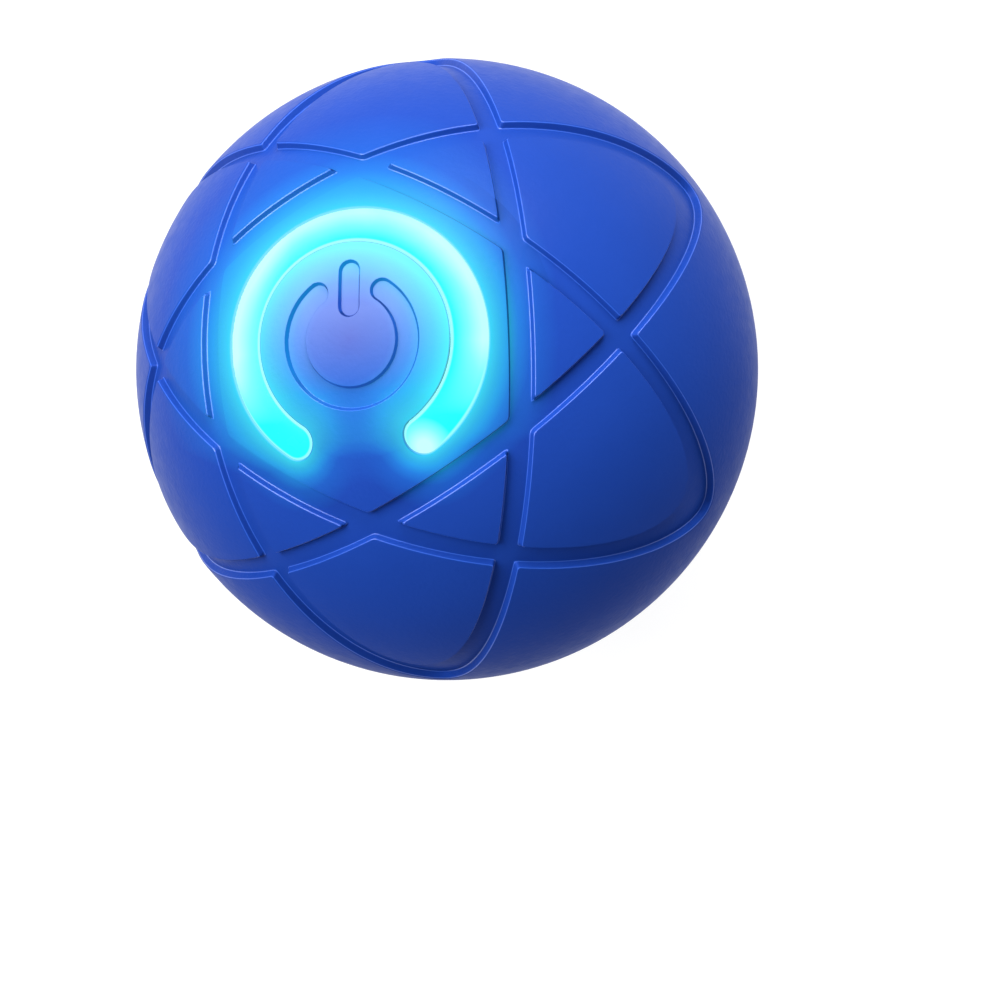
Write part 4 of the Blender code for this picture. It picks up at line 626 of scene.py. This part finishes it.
def refined_sphere():
    """Directions and triangles, finer where a wall, a seam or an edge needs it."""
    points, triangles = icosphere(SPHERE_LEVEL)

    def centres():
        return unit(points[triangles].sum(1))

    def whole_depth(turns):
        return channel_depth(turns) + icon_depth(turns)

    def front(turns, reach):
        return (turns[:, 2] > 0.0) & (np.hypot(turns[:, 0], turns[:, 1]) * BALL < reach)

    for band in FINE_BANDS:
        turns = centres()
        marked = front(turns, PAD_RADIUS + band) | (opening_edge(turns) < band)
        seen = turns[:, 2] > BACK_Z if band < FINE_BANDS[0] else True
        marked |= seen & (spread(points, triangles, whole_depth) > CHANNEL_STEP)
        points, triangles = halve(points, triangles, marked)
    turns = centres()
    seams = np.minimum(np.abs(ring_edge(turns)), np.abs(opening_edge(turns)))
    tongue = front(turns, PAD_RADIUS + SEAM_BAND) & (ring_edge(turns) > 0.0)
    tongue &= turns[:, 1] * BALL < TONGUE_FROM_Y
    marked = (seams < SEAM_BAND) | tongue | (spread(points, triangles, icon_depth) > ICON_STEP)
    points, triangles = halve(points, triangles, marked)
    points, triangles = halve(points, triangles, spread(points, triangles, icon_depth) > ICON_STEP)
    for side in (0.0, 1.0):
        def wall_line(turns, side=side, ease=0.0):
            return channel_inside(turns) - side * WALL_RUN_SHARE * channel_bottom(turns) + ease
        clear_band(points, wall_line, EDGE_EASE)
        for ease in (-EDGE_EASE, EDGE_EASE):
            points, triangles = score(points, triangles, lambda turns: wall_line(turns, ease=ease))
    for line in (-ICON_EASE, ICON_EASE, ICON_WALL_RUN - ICON_EASE, ICON_WALL_RUN + ICON_EASE):
        def icon_line(turns, line=line):
            return -icon_edge(turns) - line
        points, triangles = score(points, triangles, icon_line)
    return points, triangles


def tongue_line(turns):
    """Zero along the pad's edge in the ring's gap, and far from zero elsewhere."""
    reach = np.hypot(turns[:, 0], turns[:, 1]) * BALL
    across, along = np.abs(turns[:, 0]), -turns[:, 1]
    gap = math.radians(RING_GAP_DEG)
    in_gap = (across * math.cos(gap) - along * math.sin(gap) < 0.0) & (turns[:, 2] > 0.0)
    elsewhere = np.where((reach < RING_MID) & (turns[:, 2] > 0.0), -BALL, BALL)
    return np.where(in_gap, reach - PAD_RADIUS, elsewhere)


def build_pieces():
    """The pieces of the ball's surface, cut from one sphere so that their edges meet."""
    points, triangles = refined_sphere()
    value = snap(points, ring_edge)
    points, ring, rest = split(points, triangles, value)
    points, _, rest = split(points, rest, ring_edge(points) - SEAM_GAP)
    points, pad, rest = split(points, rest, tongue_line(points))
    value = snap(points, opening_edge)
    points, opening, skin = split(points, rest, value)

    def on_ring_edge(places):
        return np.abs(ring_edge(unit(places)) - SEAM_GAP) < ON_RIM

    def on_opening_edge(places):
        return np.abs(opening_edge(unit(places))) < ON_RIM

    skin_top = surface(points, skin, skin_depth)
    pad_top = surface(points, pad, pad_depth)
    ring_top = surface(points, ring, ring_depth)

    points, _, ledge = split(points, opening, well_edge(points))
    ledge = level_piece(points, ledge, LEDGE_Z, -1.0)
    points, flap, _ = split(points, opening, flap_edge(points))
    points, stub, _ = split(points, opening, stub_edge(points))
    flap_top = surface(points, flap, flap_depth)
    flap_back = level_piece(points, flap, FLAP_BACK_Z, 1.0)
    stub_top = level_piece(points, stub, STUB_TOP_Z, 1.0,
                           lambda turns: fillet(STUB_FILLET, -stub_edge(turns)))

    def everywhere(places):
        return np.ones(len(places), bool)

    def on_well_edge(places):
        return np.abs(well_edge(places / BALL)) < ON_WELL_RIM

    return {
        "skin": merge(skin_top, wall(skin_top, on_ring_edge, down_skirt),
                      wall(skin_top, on_opening_edge, to_height(LEDGE_Z)),
                      ledge, wall(ledge, on_well_edge, to_height(WELL_FLOOR_Z))),
        "pad": merge(pad_top, wall(pad_top, on_ring_edge, down_skirt)),
        "ring": merge(ring_top, wall(ring_top, everywhere, down_skirt)),
        "stopper": merge(flap_top, wall(flap_top, everywhere, to_height(FLAP_BACK_Z)), flap_back,
                         stub_top, wall(stub_top, everywhere, to_height(FLAP_BACK_Z)),
                         turned_bar((HINGE_X, HINGE_Z), KNUCKLE_RADIUS, FLAP_TETHER[1], KNUCKLE_FILLET)),
    }


def make(name, piece, material, node):
    """A mesh object in metres that stands for a CAD node, without its triangles of no area."""
    points, triangles, normals = piece
    corners = points[triangles]
    spans = np.cross(corners[:, 1] - corners[:, 0], corners[:, 2] - corners[:, 0])
    triangles = triangles[np.linalg.norm(spans, axis=1) > TINY_AREA]
    mesh = bpy.data.meshes.new(name)
    mesh.from_pydata((points * MM).tolist(), [], triangles.tolist())
    mesh.polygons.foreach_set("use_smooth", np.ones(len(mesh.polygons), bool))
    mesh.normals_split_custom_set_from_vertices(normals.tolist())
    mesh.materials.append(material)
    thing = bpy.data.objects.new(name, mesh)
    bpy.context.scene.collection.objects.link(thing)
    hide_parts(node)
    return thing


class Paint:
    """A material's node tree, with the few moves that the finishes below share."""

    def __init__(self, name):
        self.material = bpy.data.materials.new(name)
        self.material.use_nodes = True
        self.tree = self.material.node_tree
        self.tree.nodes.clear()
        self.surface = self.add("ShaderNodeBsdfPrincipled")
        self.output = self.add("ShaderNodeOutputMaterial")
        self.link(self.surface.outputs["BSDF"], self.output.inputs["Surface"])
        self.places = self.add("ShaderNodeTexCoord").outputs["Object"]

    def add(self, kind, **settings):
        node = self.tree.nodes.new(kind)
        for key, value in settings.items():
            setattr(node, key, value)
        return node

    def link(self, source, target):
        if isinstance(source, bpy.types.NodeSocket):
            self.tree.links.new(source, target)
        else:
            target.default_value = source

    def set(self, **sockets):
        for key, value in sockets.items():
            self.link(value, self.surface.inputs[key.replace("_", " ")])

    def math(self, operation, *values):
        node = self.add("ShaderNodeMath", operation=operation)
        for k, value in enumerate(values):
            self.link(value, node.inputs[k])
        return node.outputs[0]

    def product(self, first, *others):
        for other in others:
            first = self.math("MULTIPLY", first, other)
        return first

    def largest(self, first, *others):
        for other in others:
            first = self.math("MAXIMUM", first, other)
        return first

    def rest(self, share):
        return self.math("SUBTRACT", 1.0, share)

    def choose(self, share, chosen, other):
        return self.math("ADD", self.product(share, chosen), self.product(self.rest(share), other))

    def length(self, x, y):
        return self.math("SQRT", self.math("ADD", self.product(x, x), self.product(y, y)))

    def above(self, place, limit):
        """1 where place, in metres, is over a limit in millimetres."""
        return self.math("GREATER_THAN", place, limit * MM)

    def below(self, place, limit):
        return self.math("LESS_THAN", place, limit * MM)

    def dot(self, first, second):
        node = self.add("ShaderNodeVectorMath", operation="DOT_PRODUCT")
        self.link(first, node.inputs[0])
        self.link(second, node.inputs[1])
        return node.outputs["Value"]

    def noise(self, scale, detail=2.0, roughness=0.5, stretch=EVEN):
        places = self.places
        if stretch != EVEN:
            mapping = self.add("ShaderNodeMapping")
            self.link(places, mapping.inputs["Vector"])
            mapping.inputs["Scale"].default_value = stretch
            places = mapping.outputs["Vector"]
        node = self.add("ShaderNodeTexNoise")
        self.link(places, node.inputs["Vector"])
        node.inputs["Scale"].default_value = scale
        node.inputs["Detail"].default_value = detail
        node.inputs["Roughness"].default_value = roughness
        return node.outputs["Fac"]

    def between(self, share, low, high, start=0.3, end=0.7):
        """From low to high as share goes from start to end, which by default are those of a noise."""
        node = self.add("ShaderNodeMapRange")
        for key, value in (("Value", share), ("From Min", start), ("From Max", end),
                           ("To Min", low), ("To Max", high)):
            self.link(value, node.inputs[key])
        return node.outputs["Result"]

    def along(self, place, fade):
        """From low to high along a place in metres, where fade has low, high and both ends in millimetres."""
        low, high, start, end = fade
        return self.between(place, low, high, start * MM, end * MM)

    def blend(self, share, low, high, how="MIX"):
        node = self.add("ShaderNodeMix", data_type="RGBA", blend_type=how)
        self.link(share, node.inputs[0])
        for socket, value in ((node.inputs[6], low), (node.inputs[7], high)):
            self.link((*value, 1.0) if isinstance(value, tuple) else value, socket)
        return node.outputs[2]

    def ramp(self, share, stops):
        """A colour ramp from (place, colour) stops."""
        node = self.add("ShaderNodeValToRGB")
        self.link(share, node.inputs[0])
        elements = node.color_ramp.elements
        while len(elements) < len(stops):
            elements.new(1.0)
        for element, (place, colour) in zip(elements, stops):
            element.position = place
            element.color = (*colour, 1.0)
        return node.outputs["Color"]

    def bump(self, height, distance, strength):
        node = self.add("ShaderNodeBump")
        self.link(height, node.inputs["Height"])
        node.inputs["Distance"].default_value = distance
        node.inputs["Strength"].default_value = strength
        self.link(node.outputs["Normal"], self.surface.inputs["Normal"])


def ring_distance(paint):
    """Distances in metres from the light ring's middle line and from the button's axis, and the place."""
    place = paint.add("ShaderNodeSeparateXYZ")
    paint.link(paint.places, place.inputs[0])
    x, y = place.outputs[0], place.outputs[1]
    reach = paint.length(x, y)
    arc = paint.math("ABSOLUTE", paint.math("SUBTRACT", reach, RING_MID * MM))
    # In the middle of the gap, a bowl in place of the fold between the two ends' distances
    across = paint.math("ABSOLUTE", x)
    bowl = paint.math("ADD", paint.product(x, x, 0.5 / (GAP_BLEND * MM)), 0.5 * GAP_BLEND * MM)
    across = paint.choose(paint.below(across, GAP_BLEND), bowl, across)
    gap = math.radians(RING_GAP_DEG)
    end = paint.length(paint.math("SUBTRACT", across, RING_MID * MM * math.sin(gap)),
                       paint.math("SUBTRACT", y, -RING_MID * MM * math.cos(gap)))
    side = paint.math("ADD", paint.product(across, math.cos(gap)), paint.product(y, math.sin(gap)))
    return paint.choose(paint.below(side, 0.0), end, arc), reach, place.outputs


def facing(paint, way, span):
    """From 0 to 1 as the surface turns towards this way, over a span of cosines."""
    normal = paint.add("ShaderNodeNewGeometry").outputs["Normal"]
    return paint.between(paint.dot(normal, way), 0.0, 1.0, *span)


def level(paint):
    """1 where the surface follows the ball and 0 on walls, and 1 on rounded edges only."""
    outward = paint.add("ShaderNodeVectorMath", operation="NORMALIZE")
    paint.link(paint.places, outward.inputs[0])
    normal = paint.add("ShaderNodeNewGeometry").outputs["Normal"]
    follows = paint.dot(outward.outputs["Vector"], normal)
    rounded = paint.product(paint.between(follows, 0.0, 1.0, *ROUNDED_FROM),
                            paint.between(follows, 1.0, 0.0, *ROUNDED_TO))
    return paint.between(follows, 0.0, 1.0, *LEVEL_SPAN), rounded


def ring_light(paint, x, y, reach, edge):
    """Colour and strength of the ring's light painted into level rubber as a glow, at a distance from the
    ring's edge.
    """
    inner = paint.along(reach, GLOW_INNER)
    outer = paint.rest(inner)
    far = paint.product(paint.along(paint.math("SUBTRACT", y, x), GLOW_SLANT), paint.along(y, GLOW_FOOT))
    far = paint.largest(far, GLOW_LEAST, inner)
    glow = paint.ramp(paint.math("DIVIDE", edge, paint.product(far, GLOW_REACH * MM)), GLOW)
    corner = paint.product(paint.along(y, CORNER_DOWN), paint.along(x, CORNER_RIGHT), outer)
    glow = paint.blend(corner, glow, CORNER_TINT, "MULTIPLY")
    within = paint.product(inner, paint.along(x, PAD_GLOW_RIGHT), paint.along(y, PAD_GLOW_UP),
                           paint.along(y, PAD_GLOW_FOOT))
    power = paint.math("ADD", within, paint.product(outer, OUTER_GLOW))
    # On the pad, the glow is halved along the seam, a painted dark line of shade
    return glow, paint.product(power, paint.largest(paint.along(edge, SEAM_SHADE_LINE), outer))


def silicone():
    """Satin blue silicone, with the ring's light spreading through it as a painted glow, and painted light,
    highlights and shade on its pad, edges and walls.
    """
    paint = Paint("blue_silicone")
    away, reach, (x, y, z) = ring_distance(paint)
    edge = paint.math("SUBTRACT", away, RING_HALF * MM)
    flat, rounded = level(paint)
    shaded = facing(paint, SHADED_WAY, SHADED_SPAN)
    front = paint.above(z, 0.0)
    outside = paint.above(reach, RING_MID)
    off_seam = paint.above(edge, SEAM_BAND)
    disc = paint.below(reach, DISC_WALLS)

    # Painted shade: the symbol's walls in the shade, thin dark lines round its disc, and the hexagon's walls
    # at the far right
    shaded_wall = paint.product(paint.rest(flat), paint.below(reach, PAD_WALLS), shaded, front)
    thin_shade_wall = paint.product(disc, front, paint.rest(shaded), paint.between(flat, *THIN_SHADE_FADE))
    far_edge = paint.product(paint.above(paint.math("ADD", x, y), 0.0), paint.below(reach, FAR_EDGE),
                             off_seam, outside, facing(paint, FAR_WAY, FAR_SPAN))
    far_shade_wall = paint.product(far_edge, front)
    # Painted highlight on rounded edges: inside the ring only where they face the light, and kept off the
    # seam, the far right walls and the disc. The same mask raises the IOR there
    rounded = paint.product(rounded, paint.largest(outside, paint.rest(shaded)), off_seam,
                            paint.rest(far_edge), paint.rest(disc))

    lit = paint.product(paint.along(y, LIT_UP), paint.along(reach, LIT_OUT), paint.below(reach, PAD_RADIUS),
                        front, flat)
    colour = paint.blend(paint.noise(RUBBER_MOTTLE, detail=3.0), *RUBBER_COLOURS)
    colour = paint.blend(paint.largest(shaded_wall, far_shade_wall), colour, SHADED_COLOUR)
    colour = paint.blend(thin_shade_wall, colour, THIN_SHADE_COLOUR)
    colour = paint.blend(lit, colour, LIT_COLOUR)
    colour = paint.blend(rounded, colour, EDGE_HIGHLIGHT_COLOUR)
    gloss = paint.along(paint.math("SUBTRACT", y, paint.product(x, GLOSS_SLANT)), GLOSS_IOR)
    # The socket keeps this value under the link that the next call makes
    paint.set(IOR=RUBBER_IOR)
    paint.set(Base_Color=colour, Roughness=paint.between(paint.noise(RUBBER_CLOUD), *RUBBER_ROUGHNESS),
              IOR=paint.between(rounded, gloss, ROUNDED_IOR, 0.0, 1.0))

    glow, power = ring_light(paint, x, y, reach, edge)
    # Painted shade: the glow is dimmed on steep walls away from the ring, and on the far right walls
    wall_glow_shade = paint.largest(paint.along(edge, BY_THE_RING), paint.between(flat, WALL_GLOW, 1.0, 0.0, 1.0))
    power = paint.product(power, front, paint.rest(paint.product(far_shade_wall, FAR_WALL_SHADE)), wall_glow_shade)
    wall_light = paint.blend(paint.along(edge, WALL_LIGHT_FADE), *WALL_LIGHT)
    paint.set(Emission_Color=paint.blend(paint.largest(shaded_wall, thin_shade_wall), glow, wall_light),
              Emission_Strength=paint.largest(power, shaded_wall))
    paint.bump(paint.noise(RUBBER_GRAIN), RUBBER_LIFT, RUBBER_BUMP)
    return paint.material


def light_guide():
    """Translucent guide, cyan along its inner side and nearly white along its outer one, with a painted
    highlight along its rims.
    """
    paint = Paint("lit_guide")
    away, reach, (x, y, _) = ring_distance(paint)
    rise = paint.along(y, GUIDE_RISE)
    cloud = paint.between(paint.noise(GUIDE_CLOUD, detail=1.0), *GUIDE_CLOUD_RANGE)
    white = paint.product(paint.along(reach, GUIDE_OUTER), rise, cloud, GUIDE_WHITE)
    left = paint.product(paint.along(x, GUIDE_LEFT), rise)
    tip = paint.length(*(paint.math("SUBTRACT", place, centre * MM)
                         for place, centre in zip((x, y), GUIDE_TIP)))
    # The whiter rims are a painted highlight
    white = paint.largest(paint.math("ADD", white, left), paint.along(away, GUIDE_RIM_HIGHLIGHT),
                          paint.along(tip, GUIDE_TIP_FADE))
    paint.set(Base_Color=(*GUIDE_COLOUR, 1.0), IOR=GUIDE_IOR,
              Roughness=paint.between(paint.noise(GUIDE_HAZE), *GUIDE_ROUGHNESS),
              Emission_Color=paint.ramp(white, GUIDE_LIGHT), Emission_Strength=GUIDE_POWER)
    paint.bump(paint.noise(GUIDE_GRAIN), GUIDE_LIFT, GUIDE_BUMP)
    return paint.material


def moulded(name, dark, light, roughness, grain=1500.0, metallic=0.0, lift=0.00002, stretch=EVEN, coat=0.0):
    """A general finish: two close colours, uneven roughness and a fine grain."""
    paint = Paint(name)
    paint.set(Base_Color=paint.blend(paint.noise(MOULDED_MOTTLE, detail=3.0), dark, light),
              Roughness=paint.between(paint.noise(grain / 2.0, roughness=0.6, stretch=stretch),
                                      *(roughness + change for change in MOULDED_UNEVEN)),
              Metallic=metallic, Coat_Weight=coat)
    paint.bump(paint.noise(grain, roughness=0.55, stretch=stretch), lift, MOULDED_BUMP)
    return paint.material


def dress_cad(nodes):
    """Gives every CAD node that is still shown its finish."""
    made = {}
    for name, thing in nodes.items():
        if name in REPLACED:
            continue
        slot = next(slot for starts, slot in FINISH_RULES if name.startswith(starts))
        if slot not in made:
            made[slot] = moulded(**CAD_FINISHES[slot])
        thing.data.materials.clear()
        thing.data.materials.append(made[slot])


def view_place(right, up, towards):
    """A point given by the camera's own directions, around the ball's centre."""
    return Matrix(CAMERA_AXES).transposed() @ Vector((right, up, towards))


def add_camera():
    camera = bpy.data.objects.new("camera", bpy.data.cameras.new("camera"))
    bpy.context.scene.collection.objects.link(camera)
    place = Matrix(CAMERA_AXES).transposed().to_4x4()
    place.translation = CAMERA_PLACE
    camera.matrix_world = place
    camera.data.lens = CAMERA_LENS
    camera.data.sensor_width = CAMERA_SENSOR
    camera.data.shift_x, camera.data.shift_y = CAMERA_SHIFT
    camera.data.clip_start = CAMERA_NEAR
    camera.data.dof.use_dof = False
    bpy.context.scene.camera = camera


def add_light(name, place, power):
    """A soft square light that faces the ball."""
    data = bpy.data.lights.new(name, "AREA")
    data.size = LIGHT_SIZE
    data.energy = power
    lamp = bpy.data.objects.new(name, data)
    bpy.context.scene.collection.objects.link(lamp)
    spot = view_place(*place)
    lamp.location = spot
    lamp.rotation_euler = spot.to_track_quat("Z", "Y").to_euler()


def add_world():
    """Even light from all around, brightest near the horizon."""
    world = bpy.data.worlds.new("studio")
    bpy.context.scene.world = world
    world.use_nodes = True
    nodes, links = world.node_tree.nodes, world.node_tree.links
    turn = nodes.new("ShaderNodeTexCoord")
    height = nodes.new("ShaderNodeSeparateXYZ")
    above = nodes.new("ShaderNodeMath")
    above.operation = "ABSOLUTE"
    strength = nodes.new("ShaderNodeMapRange")
    for key, value in zip(("To Min", "To Max", "From Min", "From Max"), WORLD_FADE):
        strength.inputs[key].default_value = value
    background = nodes["Background"]
    background.inputs["Color"].default_value = (*WORLD_COLOUR, 1.0)
    links.new(turn.outputs["Generated"], height.inputs[0])
    links.new(height.outputs["Z"], above.inputs[0])
    links.new(above.outputs[0], strength.inputs["Value"])
    links.new(strength.outputs["Result"], background.inputs["Strength"])


def pale_floor():
    """A plain pale finish that is see-through from below, so that the ball's underside can be seen."""
    paint = Paint("pale_floor")
    spot = paint.add("ShaderNodeVectorMath", operation="LENGTH")
    paint.link(paint.places, spot.inputs[0])
    paint.set(Base_Color=paint.blend(paint.noise(FLOOR_MOTTLE), *FLOOR_COLOURS),
              Roughness=FLOOR_ROUGHNESS, Emission_Color=(1.0, 1.0, 1.0, 1.0),
              Emission_Strength=paint.between(spot.outputs["Value"], *FLOOR_FADE))
    under = paint.add("ShaderNodeMixShader")
    for k, source in enumerate((paint.add("ShaderNodeNewGeometry").outputs["Backfacing"],
                                paint.surface.outputs["BSDF"],
                                paint.add("ShaderNodeBsdfTransparent").outputs["BSDF"])):
        paint.link(source, under.inputs[k])
    paint.link(under.outputs["Shader"], paint.output.inputs["Surface"])
    return paint.material


def add_studio():
    for name, place, power in LIGHTS:
        add_light(name, place, power)
    add_world()
    mesh = bpy.data.meshes.new("floor")
    corners = ((-1.0, -1.0), (1.0, -1.0), (1.0, 1.0), (-1.0, 1.0))
    mesh.from_pydata([(FLOOR_HALF * x, FLOOR_HALF * y, -BALL * MM) for x, y in corners], [],
                     [(0, 1, 2, 3)])
    mesh.materials.append(pale_floor())
    floor = bpy.data.objects.new("floor", mesh)
    bpy.context.scene.collection.objects.link(floor)
    bpy.context.scene.view_settings.view_transform = "Standard"


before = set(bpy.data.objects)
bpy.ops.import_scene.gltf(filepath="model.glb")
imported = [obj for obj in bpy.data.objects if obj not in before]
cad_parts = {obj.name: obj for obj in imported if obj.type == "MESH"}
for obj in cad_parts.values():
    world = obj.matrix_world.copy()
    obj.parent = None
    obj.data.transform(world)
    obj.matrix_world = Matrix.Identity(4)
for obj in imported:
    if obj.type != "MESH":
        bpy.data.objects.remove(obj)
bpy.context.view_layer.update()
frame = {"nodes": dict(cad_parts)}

blue = silicone()
pieces = build_pieces()
skin = make("ball_skin", pieces["skin"], blue, "outer_skin")
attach(skin, "ball_body")
pad = make("button_pad", pieces["pad"], blue, "power_button")
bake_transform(pad)
ring = make("glow_ring", pieces["ring"], light_guide(), "light_ring")
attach(ring, "ball_body")
stopper = make("port_stopper", pieces["stopper"], blue, "port_plug")
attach(stopper, "plug_body")
dress_cad(frame["nodes"])

add_camera()
add_studio()
